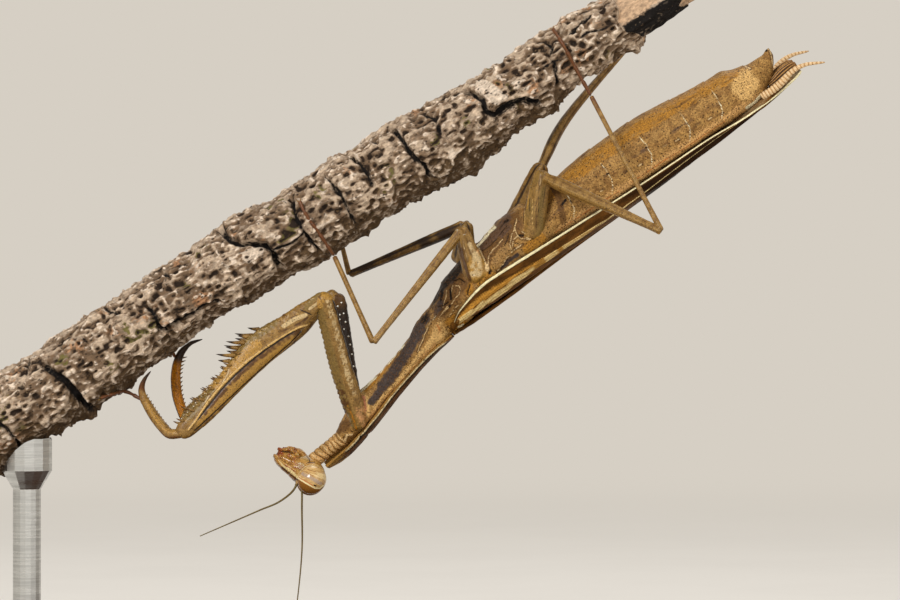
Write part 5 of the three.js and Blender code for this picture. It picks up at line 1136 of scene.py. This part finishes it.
def frontShin(leg, joints):
    knee, claw, trochanter = (np.array(joints[key], float) for key in ("knee", "claw", "trochanter"))
    inwards = (trochanter - knee) / np.linalg.norm(trochanter - knee)
    path = [knee] + joints["shin"] + [claw]
    rings, share, angle = limbRings(path, limbTables["foreTibia"], inwards, 110, 28)
    outer = np.sin(angle)
    far = leg == "fore_left"
    flank = (0.35 - outer * np.sign(np.cos(angle))) * 2 - 1.6
    tip = np.clip((share - (0.5 if far else 0.72)) / 0.2, 0, 1)
    marks = {"amber": (0.9 if far else 0.25) * np.clip((0.9 - share) * 4, 0, 1) + 0 * outer,
             "gold": (0.1 if far else 0.8) * window(outer, -0.4, 0.5, 0.4) * np.clip((0.7 - share) * 6, 0, 1),
             "brown": ((0 if far else 0.8) * np.exp(-((outer - 0.15) / 0.14) ** 2)
                       * np.clip((0.62 - share) * 6, 0, 1)),
             "red": (0 if far else 0.7) * np.clip(np.maximum(flank, (share - 0.6) * 5), 0, 1),
             "dark": np.maximum(np.clip((-outer - 0.5) * 3, 0, 1) * (0.9 if far else 0.45),
                                tip * (0.95 if far else 0.8))}
    rings = swollen(rings, 0.015 * grain(rings, 0.3, 39))
    pieces = [gridPiece(leg + "Shin", closedRings(rings), closedMarks(marks))]
    curve = pathThrough(path, 200)
    for i in range(13):
        at = 0.12 + 0.56 * i / 12
        k = int(at * 199)
        run = curve[k + 1] - curve[k]
        run /= np.linalg.norm(run)
        out = inwards - (inwards @ run) * run
        out /= np.linalg.norm(out)
        root = curve[k] + out * (smoothAt(limbTables["foreTibia"], [at])[0][1] - 0.08)
        size = (0.22 + 0.26 * i / 12) * (1 if far else 0.5)
        pieces.append(spikePiece("shinTooth", root, root + out * size + run * size * 0.7, 0.12))
    return pieces


def footPieces(leg, start, toes):
    lift = 0.36  # from the smooth bark to the middle of the foot
    points = [np.array(start, float)] + [onBark(toe, lift) for toe in toes]
    table = []
    for i in range(5):
        table += [((i + 0.04) / 5, 0.17, 0.15, 0), ((i + 0.5) / 5, 0.23, 0.19, 0),
                  ((i + 0.9) / 5, 0.27, 0.22, 0)]
    rings, share, _ = limbRings(points, table, (0.3, -1, 0.2), 90, 14)
    joint = np.clip(1 - np.abs((share * 5) % 1 - 0.98) * 9, 0, 1)
    marks = {"red": 0.85 + 0 * share, "dark": joint * 0.7}
    pieces = [gridPiece(leg + "Foot", closedRings(rings), closedMarks(marks))]
    run = points[-1] - points[-2]
    run /= np.linalg.norm(run)
    middle = placed(perch, np.array([toes[-1][0], 0, 0]))
    down = middle - points[-1]
    down /= np.linalg.norm(down)
    side = np.cross(run, down)
    for way in (-1, 1):
        root = points[-1] - 0.2 * run + side * way * 0.08
        tip = root + run * 0.5 + side * way * 0.28 + down * 0.3
        pieces.append(spikePiece("footClaw", root, tip, 0.09, -down * 0.12))
    return pieces


def buildLeg(leg, joints):
    fore = leg.startswith("fore")
    near = leg.endswith("right")
    pieces = [coxaPiece(leg, joints, fore)]
    if fore:
        top = np.array(joints["trochanter"], float)
        path = [top + (-1.0, -0.1, -0.5), top + (0, 0, 0.4), top + (0.7, 0.2, 0)]
        if not near:
            path = [top + (-1.0, -0.1, -0.4), top + (-0.4, 0, 0.1), top + (0, 0.2, 0)]
        rings, share, angle = limbRings(path, limbTables["trochanter"], (0.2, 0, 1), 50, 30)
        knob = 0.05 * np.cos(3 * angle + 6 * share) + 0.04 * grain(rings, 0.4, 43)
        marks = {"gold": 0.8 + 0 * share,
                 "brown": np.clip(1.2 - np.abs(grain(rings, 0.6, 44)) * 8, 0, 1) * 0.7,
                 "ridge": np.clip(grain(rings, 0.3, 45) * 2 - 0.6, 0, 1) * 0.6}
        pieces.append(gridPiece("trochanter", closedRings(swollen(rings, knob)), closedMarks(marks)))
        pieces += frontThigh(leg, joints) + frontShin(leg, joints)
    else:
        bend = np.array(joints["trochanter"], float) - np.array(joints["hip"], float)
        stout = joints.get("stoutness", 1)
        table = [(s, d * stout, w, x) for s, d, w, x in limbTables[leg.split("_")[0] + "Femur"]]
        path = [joints[key] for key in ("trochanter", "bow", "knee") if key in joints]
        rings, share, angle = limbRings(path, table, bend, 130, 28)
        keels = np.cos(4 * angle)
        # Painted shade: the shade value darkens the far legs in mottled clouds, and the furrows between the
        # keels are darker. Painted highlights: the pale keels and the white at the thigh's root, stronger on
        # the near legs.
        shade = joints.get("shade", 0.12)
        rings = swollen(rings, 0.03 * keels + 0.012 * grain(rings, 0.3, 40))
        mottledShade = shade * (0.6 + 0.6 * np.clip(grain(rings, 1.6, 41) + 0.5, 0, 1))
        marks = {"dark": np.clip(mottledShade + 0.35 * np.clip(-keels - 0.3, 0, 1), 0, 1),
                 "pale": np.clip(keels - 0.2, 0, 1) * (0.6 if near else 0.15),
                 "gold": np.clip(0.5 - 0.5 * np.sin(angle), 0, 1) * 0.6 + 0 * share,
                 "brown": np.clip(-0.2 - keels, 0, 1) * 0.8,
                 "white": np.clip((0.06 - share) / 0.06, 0, 1) * (0.7 if near else 0.2)}
        pieces.append(gridPiece(leg + "Thigh", closedRings(rings), closedMarks(marks)))
        path = [joints["knee"], joints["ankle"]]
        rings, share, angle = limbRings(path, limbTables["walkingTibia"], bend, 120, 20)
        keels = np.cos(4 * angle)
        # Painted shade on the shin, from the shade value and in its furrows.
        furrowShade = 0.3 * np.clip(-keels - 0.3, 0, 1)
        marks = {"dark": np.clip(0.5 * shade + np.clip(0.05 - share, 0, 1) * 8 + furrowShade, 0, 1),
                 "pale": np.clip(keels - 0.3, 0, 1) * 0.4,
                 "red": np.clip((share - 0.82) / 0.18, 0, 1) * 0.6 + 0.25 * (leg == "hind_right")}
        pieces.append(gridPiece(leg + "Shin", closedRings(swollen(rings, 0.02 * keels)), closedMarks(marks)))
        ankle = np.array(joints["ankle"], float)
        run = ankle - np.array(joints["knee"], float)
        run /= np.linalg.norm(run)
        for way in (-1, 1):
            root = ankle - run * 0.3 + np.array((0, way * 0.2, 0))
            pieces.append(spikePiece("shinSpur", root, root + run * 0.55 + np.array((0, way * 0.3, 0)), 0.08))
    pieces += footPieces(leg, joints["ankle"], joints["toes"])
    if leg == "fore_left":
        hip, end = np.array(joints["hip"], float), np.array(joints["trochanter"], float)
        for at, over in tubercles:
            _, depth, width, _ = smoothAt(limbTables["foreCoxa"], [at])[0]
            out = width * math.sqrt(max(0.05, 1 - (over / depth) ** 2))
            root = hip + (end - hip) * at + np.array((over, -out, 0))
            away = np.array((0.5 * over, -1, 0.1))
            away /= np.linalg.norm(away)
            pieces.append(spikePiece("hipTubercle", root - away * 0.16, root + away * 0.2, 0.21, tipMark="bead",
                                     sides=10))
    return joined(leg.replace("_r", "R").replace("_l", "L") + "Leg", pieces)


# Leg cuticle: tough and satin, straw to umber, with painted shade in its furrows.
legMarks = {"olive": "#7C6230", "gold": "#A67C36", "peach": "#C48E5A", "amber": "#B4700F", "brown": "#5A3A18",
            "pale": "#C4A878", "red": "#643A1C", "white": "#E4DCC4", "dark": "#2A1A0C", "ridge": "#D2AA66",
            "bead": "#FFFFF4"}
legFinish = surface("satin leg cuticle", {
    "base": "#94713A", "blotch": "#7A5826", "blotchSize": 0.7, "grainSize": 0.16, "shade": 0.4, "fray": 0.4,
    "specks": [("#4A3018", 0.3, 0.25, 0.8)], "crisp": ("pale", "dark", "ridge", "white", "bead"),
    "marks": legMarks,
    "roughness": 0.38, "bump": 0.6, "bumpDepth": 0.00008, "coat": 0.1, "coatRoughness": 0.25, "specular": 0.25})
for leg, joints in legs.items():
    nodeNames = [f"{leg}_{segment}" for segment in ("coxa", "femur", "tibia", "tarsus")]
    settle(buildLeg(leg, joints), legFinish, "leg", *nodeNames)
print("legs built")


# Head.

headTable = [  # from mouth to crown: along, centre, depth to the rear, depth to the face, half width
    (-3.6, -0.6, 0.15, 0.2, 0.45), (-3, -0.5, 0.3, 0.5, 0.8), (-2.4, -0.35, 0.5, 0.9, 1.05),
    (-1.6, -0.1, 1.0, 1.2, 1.35), (-0.6, 0.2, 1.5, 1.6, 1.75), (0.4, 0.3, 1.6, 1.85, 2.1),
    (1.3, 0.2, 1.5, 1.9, 2.35), (2, 0.1, 1.2, 1.65, 2.2), (2.5, 0, 0.7, 1.1, 1.6)]
eyeLook = {"up": 1.27, "out": 2.22, "rear": -0.22, "radii": (1.5, 1.5, 1.6), "lean": 20, "rows": 90,
           "sides": 110}
# Marks of the head in the side view, from the mouth (-) to the crown and from the face (-) to the rear.
headMarks = [
    ("brown", 0.6, [(-3.4, -1.15), (-2.2, -1.4), (-0.8, -1.45), (0.6, -1.45), (1.6, -1.4)]),
    ("dark", 0.12, [(-3, -0.98), (-2.1, -1.1), (-1.0, -1.1), (-0.2, -1.06), (0.4, -1)]),
    ("cream", 0.24, [(-2.9, -0.8), (-2.2, -0.86), (-1.4, -0.82), (-0.7, -0.82), (0, -0.8)]),
    ("cream", 0.35, [(-1.5, -0.75), (-0.6, -0.75)]),
    ("red", 0.1, [(-2, -0.62), (-1.3, -0.55), (-0.7, -0.5)], [(-1.9, 0.5), (-1.2, 0.15), (-0.5, 0.4), (0, 0.3)],
     [(-1.1, -0.2), (-0.5, 0.1), (0.1, 0.15)]),
    ("dark", 0.1, [(-0.7, 1.55), (-0.3, 1.5), (-0.1, 1.3)], [(-0.3, 1.0), (0, 1.35), (0.35, 1.65)]),
    ("olive", 0.9, [(-1.4, 1.3), (-0.6, 1.5)], [(-0.6, 0.3), (-0.1, 0.2)]),
]
eyeMarks = [
    ("grey", 0.5, [(0.1, -0.1), (0.8, 0.1), (1.6, 0.22), (2.2, 0.3)]),
    ("orange", 0.13, [(-0.1, -0.69), (0.4, -0.58), (0.84, -0.46), (1.3, -0.42), (1.75, -0.36)]),
    ("streak", 0.12, [(-0.25, 0.05), (0.3, 0.3), (1.1, 0.45)], [(-0.1, -0.2), (0.6, -0.1)],
     [(0.2, 0.6), (1, 0.95)]),
    ("pupil", 0.17, [(1.83, -0.25), (2.0, -0.21)]),
    ("cream", 0.16,
     [(-0.4, -0.82), (-0.08, -0.8), (0.62, -0.69), (1.48, -0.55), (2.1, -0.45), (2.5, -0.18), (2.62, 0.3)]),
]
eyeLine = [(-0.5, -0.9), (-0.08, -0.86), (0.62, -0.76), (1.48, -0.62), (2.1, -0.5), (2.5, -0.22), (2.66, 0.25),
           (2.85, 0.8)]


def headView(points):  # places in the head's own side view
    tilt = math.radians(6)
    return points[..., 0], points[..., 2] * math.cos(tilt) + np.abs(points[..., 1]) * math.sin(tilt)


def buildCapsule():
    angle = np.linspace(0, 2 * math.pi, 150, endpoint=False)
    along = np.linspace(-3.6, 2.5, 190)
    points = sectionPoints(smoothAt(headTable, along), along, 2.2, angle)
    points[..., 0] += 0.22 * np.cos(angle * 2)[None, :] * np.clip((along - 1.8) / 0.7, 0, 1)[:, None]
    u, v = headView(points)
    width, face = np.abs(points[..., 1]), -points[..., 2]
    onFace = np.clip((face - 0.35) / 0.3, 0, 1)
    fromEye = np.sqrt(((u - eyeLook["up"]) / 1.5) ** 2 + ((points[..., 2] - eyeLook["rear"]) / 1.6) ** 2)
    rim = np.exp(-((fromEye - 1.03) / 0.06) ** 2) * (width > 1.1)
    shield = window(u, -1.0, -0.15, 0.12) * window(width, -1, 1.05, 0.15) * onFace
    clypeus = window(u, -2.1, -1.12, 0.1) * window(width, -1, 0.8 + 0.1 * u, 0.12) * onFace
    furrow = np.exp(-((width - 0.75) / 0.1) ** 2) + 0.7 * np.exp(-(width / 0.08) ** 2)
    furrow = furrow * np.clip((u - 0.9) / 0.4, 0, 1)
    socket = np.exp(-((u - 0.15) ** 2 + (width - 0.78) ** 2) / 0.06) * onFace
    seam = np.exp(-((u + 1.06) / 0.05) ** 2) * onFace
    seam = seam + np.exp(-((u + 0.08) / 0.05) ** 2) * (width < 1.1) * onFace
    marks = {}
    paintLines(u, v, marks, headMarks, 1.0)
    marks["brown"] = np.maximum(marks["brown"], onFace * np.clip((-v - 0.95) / 0.15, 0, 1))
    marks["brown"] = marks["brown"] * (1 - 0.3 * window(width, -1, 0.9, 0.3) * onFace)
    marks["dark"] = np.maximum(marks["dark"], 0.25 * seam + 0.5 * socket * (width < 0.95))
    marks["cream"] = np.maximum(marks["cream"], 0.6 * rim)
    relief = 0.03 * shield + 0.04 * clypeus - 0.06 * furrow - 0.03 * seam - 0.06 * socket + 0.04 * rim
    relief = relief + 0.02 * grain(points, 0.5, 51) - 0.05 * marks["dark"] + 0.05 * marks["red"]
    rings = closedRings(outwards(points, relief))
    return gridPiece("headCapsule", placed(headFrame, rings), closedMarks(marks))


def buildEye(side):
    look = eyeLook
    fall = np.linspace(0.02, math.pi - 0.02, look["rows"])[:, None]
    angle = np.linspace(0, 2 * math.pi, look["sides"], endpoint=False)[None, :]
    a, b, c = look["radii"]
    ball = np.stack([a * np.sin(fall) * np.cos(angle), b * np.cos(fall) + 0 * angle,
                     c * np.sin(fall) * np.sin(angle)], -1)
    lean = math.radians(-look["lean"])
    x = ball[..., 0] * math.cos(lean) - ball[..., 1] * math.sin(lean)
    y = ball[..., 0] * math.sin(lean) + ball[..., 1] * math.cos(lean)
    points = np.stack([x + look["up"], side * (y + look["out"]), ball[..., 2] + look["rear"]], -1)
    u, v = headView(points)
    marks = {}
    paintLines(u, v, marks, eyeMarks, 1.0)
    line = np.interp(u, [p[0] for p in eyeLine], [p[1] for p in eyeLine])
    marks["brown"] = np.clip((line - v) / 0.08 + 0.5, 0, 1)
    fan = np.stack([u * 0.35, v - 0.35 * u, 0 * u], -1)
    marks["grey"] = marks["grey"] * 0.75
    streaks = np.maximum(marks["streak"], np.clip(grain(fan, 0.13, 52) * 1.2 - 0.1, 0, 1))
    marks["streak"] = streaks * (1 - marks["brown"])
    light = np.clip(grain(fan + 7, 0.2, 53) * 1.6 + window(v, 0.7, 1.6, 0.3) * 0.3, 0, 1)
    marks["pale"] = light * (1 - marks["brown"])
    name = "eyeLeft" if side > 0 else "eyeRight"
    return gridPiece(name, placed(headFrame, closedRings(points)), closedMarks(marks))


# Head shell: thin hard cuticle, straw with a brown face, glossy as if oiled.
headFinish = surface("glossy head cuticle", {
    "base": "#BC8F4C", "blotch": "#A0722E", "blotchSize": 0.5, "grainSize": 0.13, "shade": 0.32, "fray": 0.3,
    "specks": [("#6E4420", 0.3, 0.2, 0.6)], "crisp": ("cream", "dark", "red"),
    "marks": {"olive": "#9A783C", "brown": "#855524", "red": "#8A3A18", "cream": "#E8CF94", "dark": "#3A1E0E"},
    "roughness": 0.25, "bump": 0.45, "bumpDepth": 0.00007, "coat": 0.2, "coatRoughness": 0.1, "specular": 0.3})
# Compound eye: a smooth clear cornea over fine facets, so it shines like wet glass over streaked tan.
eyeFinish = surface("faceted cornea", {  # real facets of 0.03 mm are drawn at 0.07 mm so that they show
    "base": "#CDA668", "blotch": "#B48C56", "blotchSize": 0.6, "grainSize": 0.12, "shade": 0.14, "fray": 0.25,
    "crisp": ("cream", "pupil", "orange"),
    "marks": {"pale": "#DCBE86", "streak": "#A07444", "grey": "#AB927C", "orange": "#C07A42",
              "brown": "#8A5A24", "cream": "#F0DCA6", "pupil": "#1E120A"},
    "facetSize": 0.07, "roughness": 0.16, "bump": 0.12, "bumpDepth": 0.00002, "coat": 0.25,
    "coatRoughness": 0.05, "specular": 0.3, "dull": "brown"})
settle(buildCapsule(), headFinish, "head", "head")
for side, nodeName in ((1, "eye_left"), (-1, "eye_right")):
    settle(buildEye(side), eyeFinish, "eye", nodeName)


def inHead(points):
    return [placed(headFrame, np.array(p, float)) for p in points]


# The mouth's pieces: the lips and tongue in the middle, each jaw and feeler on both sides.
# Each has a path, then sections along it as in limbTables, then how it is painted.
mouthPieces = {
    "upperLip": ([(-2.0, 0, -1.05), (-2.8, 0, -0.95), (-3.65, 0, -0.5)],
                 [(0, 0.22, 0.85, 0), (0.5, 0.24, 0.78, 0), (0.85, 0.2, 0.5, 0), (1, 0.08, 0.2, 0)], "tan"),
    "lowerLip": ([(-0.6, 0, 1.3), (-1.7, 0, 1.3), (-2.5, 0, 0.95), (-3.3, 0, 0.4)],
                 [(0, 0.3, 0.6, 0), (0.3, 0.4, 0.8, 0), (0.7, 0.32, 0.7, 0), (1, 0.14, 0.4, 0)], "tan"),
    "tongue": ([(-0.8, 0, 0.4), (-1.8, 0, 0.4), (-2.8, 0, 0.1), (-3.5, 0, -0.15)],
               [(0, 0.8, 1.15, 0), (0.4, 0.75, 1.1, 0), (0.75, 0.5, 0.75, 0), (1, 0.2, 0.35, 0)], "tan"),
    "jaw": ([(-0.9, 1.2, -0.05), (-1.9, 1.05, -0.2), (-2.8, 0.7, -0.3), (-3.45, 0.25, -0.25)],
            [(0, 0.3, 0.28, 0), (0.25, 0.42, 0.34, 0), (0.6, 0.34, 0.3, 0), (0.9, 0.2, 0.2, 0),
             (1, 0.08, 0.1, 0)], "jaw"),
    "innerJaw": ([(-0.9, 1.15, 0.55), (-1.8, 1.15, 0.42), (-2.6, 0.85, 0.15), (-3.5, 0.5, -0.02)],
                 [(0, 0.26, 0.26, 0), (0.3, 0.32, 0.3, 0), (0.7, 0.24, 0.24, 0), (1, 0.1, 0.12, 0)], "banded"),
    "jawFeeler": ([(-1.3, 1.3, 0.7), (-1.9, 1.42, 0.95), (-2.6, 1.3, 0.8), (-3.2, 1.0, 0.4),
                   (-3.7, 0.62, 0.12)],
                  [(0, 0.15, 0.15, 0), (0.22, 0.2, 0.2, 0), (0.26, 0.15, 0.15, 0), (0.45, 0.21, 0.21, 0),
                   (0.49, 0.15, 0.15, 0), (0.7, 0.2, 0.2, 0), (0.74, 0.14, 0.14, 0), (0.94, 0.18, 0.18, 0),
                   (1, 0.08, 0.08, 0)],
                  "banded"),
    "lipFeeler": ([(-1.9, 0.6, 1.25), (-2.5, 0.85, 1.2), (-3.0, 0.75, 0.75), (-3.3, 0.5, 0.5)],
                  [(0, 0.13, 0.13, 0), (0.3, 0.18, 0.18, 0), (0.35, 0.13, 0.13, 0), (0.65, 0.18, 0.18, 0),
                   (0.7, 0.13, 0.13, 0), (0.95, 0.16, 0.16, 0), (1, 0.06, 0.06, 0)], "banded"),
}


def buildMouth():
    pieces = []
    for key, (path, table, kind) in mouthPieces.items():
        for side in ((1,) if path[0][1] == 0 else (1, -1)):
            points = inHead([(x, side * y, z) for x, y, z in path])
            rings, share, _ = limbRings(points, table, tuple(headFrame[:3, 2]), 60, 24)
            band = np.clip(3 * np.cos(2 * math.pi * share * 4) - 1.8, 0, 1)
            crease = np.clip(1 - np.abs(grain(rings, 0.42, 55)) * 9, 0, 1)
            tip = np.clip((share - 0.62) / 0.25, 0, 1) * (0.4 if kind == "tan" else 0.95)
            marks = {"red": np.maximum(0.85 * crease + 0.6 * band * (kind == "banded"), tip),
                     "dark": (np.clip((share - 0.85) / 0.15, 0, 1) * (0.9 if kind == "jaw" else 0.5)
                              + 0.3 * crease),
                     "pale": np.clip(grain(rings, 0.3, 56) * 1.5 - 0.3, 0, 1) * 0.8}
            rings = swollen(rings, 0.05 * grain(rings, 0.35, 54) - 0.05 * crease)
            pieces.append(gridPiece(key, closedRings(rings), closedMarks(marks)))
    return joined("mouthPieces", pieces)


mouthFinish = surface("wet mouth cuticle", {  # horny and wet, straw to dark red, with sharp glints
    "base": "#BC8A40", "blotch": "#96642A", "blotchSize": 0.35, "grainSize": 0.11, "shade": 0.45, "fray": 0.4,
    "marks": {"pale": "#E0C07C", "red": "#96481C", "dark": "#40200E"},
    "roughness": 0.2, "bump": 0.9, "bumpDepth": 0.00012, "coat": 0.35, "coatRoughness": 0.03, "specular": 0.15})
settle(buildMouth(), mouthFinish, "mouth", "mouthparts")

ocelli = joined("simpleEyes", [
    spikePiece("simpleEye", root, tip, 0.15, tipMark="bead", sides=12)
    for root, tip in (inHead([(x, y, z), (x + 0.02, y, z - 0.2)])
                      for x, y, z in ((0.45, 0, -1.36), (0.8, 0.34, -1.5), (0.8, -0.34, -1.5)))])
settle(ocelli, eyeFinish, "eye")

feelerPaths = {
    "right": [(-12, 0.6, 25.3), (-12.6, 0, 24.2), (-14, -1.2, 23.1), (-16, -3.4, 22.3), (-22, -10, 19.9)],
    "left": [(-12, 2.3, 25.4), (-11.75, 2.25, 24.6), (-11.7, 2.2, 22), (-11.7, 2.3, 17.7), (-12.2, 2.4, 12.3),
             (-12.8, 2.6, 8.2)],
}
feelerLook = {"rows": 420, "sides": 12, "rings": 70, "start": 0.14, "end": 0.055}


def buildFeeler(side):
    look = feelerLook
    share = np.linspace(0, 1, 240)
    radius = look["start"] + (look["end"] - look["start"]) * share**0.7
    radius = radius + 0.12 * np.exp(-((share - 0.012) / 0.012) ** 2)
    radius = radius + 0.05 * np.exp(-((share - 0.035) / 0.008) ** 2)
    table = [(s, r, r, 0) for s, r in zip(share, radius)]
    rings, share, _ = limbRings(feelerPaths[side], table, (1, 0.2, 0.3), look["rows"], look["sides"])
    wave = 0.5 + 0.5 * np.cos(2 * math.pi * share * look["rings"])
    rings = swollen(rings, -0.012 * wave)
    marks = {"ring": wave * 0.8, "root": np.clip(0.05 - share, 0, 1) * 30}
    return gridPiece("feeler" + side.title(), closedRings(rings), closedMarks(marks))


feelerFinish = surface("ringed feeler cuticle", {  # thread-thin, dull olive, darker at each ring
    "base": "#7E6C3C", "blotch": "#6A5628", "blotchSize": 1.5, "grainSize": 0.1, "shade": 0.2, "fray": 0.2,
    "marks": {"ring": "#57441F", "root": "#A9844A"}, "roughness": 0.5, "bump": 0.2})
for side in ("left", "right"):
    settle(buildFeeler(side), feelerFinish, "feeler", "antenna_" + side)
print("head built")


# Tail feelers.

cercusPath = [(40.9, 2.2, 1.75), (43, 2.5, 1.85), (45.2, 2.9, 2.4), (46.6, 3.2, 2.3), (48.5, 3.8, 1.45)]


def buildCercus(side):
    path = [placed(hindBody, np.array((x, side * y, z))) for x, y, z in cercusPath]
    table = [(0, 0.36, 0.4, 0), (0.3, 0.36, 0.4, 0), (0.55, 0.28, 0.3, 0), (0.75, 0.19, 0.21, 0),
             (0.95, 0.12, 0.12, 0),
             (1, 0.05, 0.05, 0)]
    rings, share, _ = limbRings(path, table, (0, -1, 0.3), 260, 26)
    phase = (share**0.9 * 20) % 1
    bead = np.sin(math.pi * phase) ** 0.6
    rings = swollen(rings, (0.07 * bead - 0.05) * np.clip(1.15 - share, 0.2, 1))
    marks = {"joint": np.clip(1 - np.minimum(phase, 1 - phase) * 7, 0, 1) * 0.75, "light": bead * 0.8,
             "tip": np.clip((share - 0.9) / 0.1, 0, 1) * 0.7}
    return gridPiece("tailFeeler" + ("Left" if side > 0 else "Right"), closedRings(rings), closedMarks(marks))


cercusFinish = surface("ringed tail feeler cuticle", {  # waxy and pale, with a fine brown seam at each joint
    "base": "#C49A66", "blotch": "#A87C48", "blotchSize": 0.5, "grainSize": 0.12, "shade": 0.25, "fray": 0.25,
    "marks": {"light": "#DCBC90", "joint": "#8A6036", "tip": "#A07A50"}, "roughness": 0.45, "bump": 0.4,
    "specular": 0.2})
for side, nodeName in ((1, "cercus_left"), (-1, "cercus_right")):
    settle(buildCercus(side), cercusFinish, "cercus", nodeName)
print("tail feelers built")


# Stand.

standWood = surface("oiled walnut", {  # planed and oiled: long brown grain under a low sheen
    "stretch": (0.06, 1, 1), "base": "#4A2E1C", "blotch": "#2E1B10", "blotchSize": 2.2,
    "blotchRange": (0.35, 0.65), "grainSize": 0.5, "shade": 0.3, "roughness": 0.42, "bump": 0.25, "coat": 0.2,
    "coatRoughness": 0.25})
standMetal = surface("brushed steel", {  # turned and brushed: fine rings round the rod
    "stretch": (0.2, 0.2, 6), "base": "#C9C9C6", "blotch": "#B4B4B1", "blotchSize": 1.2,
    "grainSize": 0.5, "shade": 0.08, "metallic": 1.0, "roughness": 0.3, "bump": 0.08, "bumpDepth": 0.00003})
for nodeName, finish in (("stand_base", standWood), ("stand_rod", standMetal)):
    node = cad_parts[nodeName]
    node.data.materials.clear()
    node.data.materials.append(finish)
print("stand dressed")
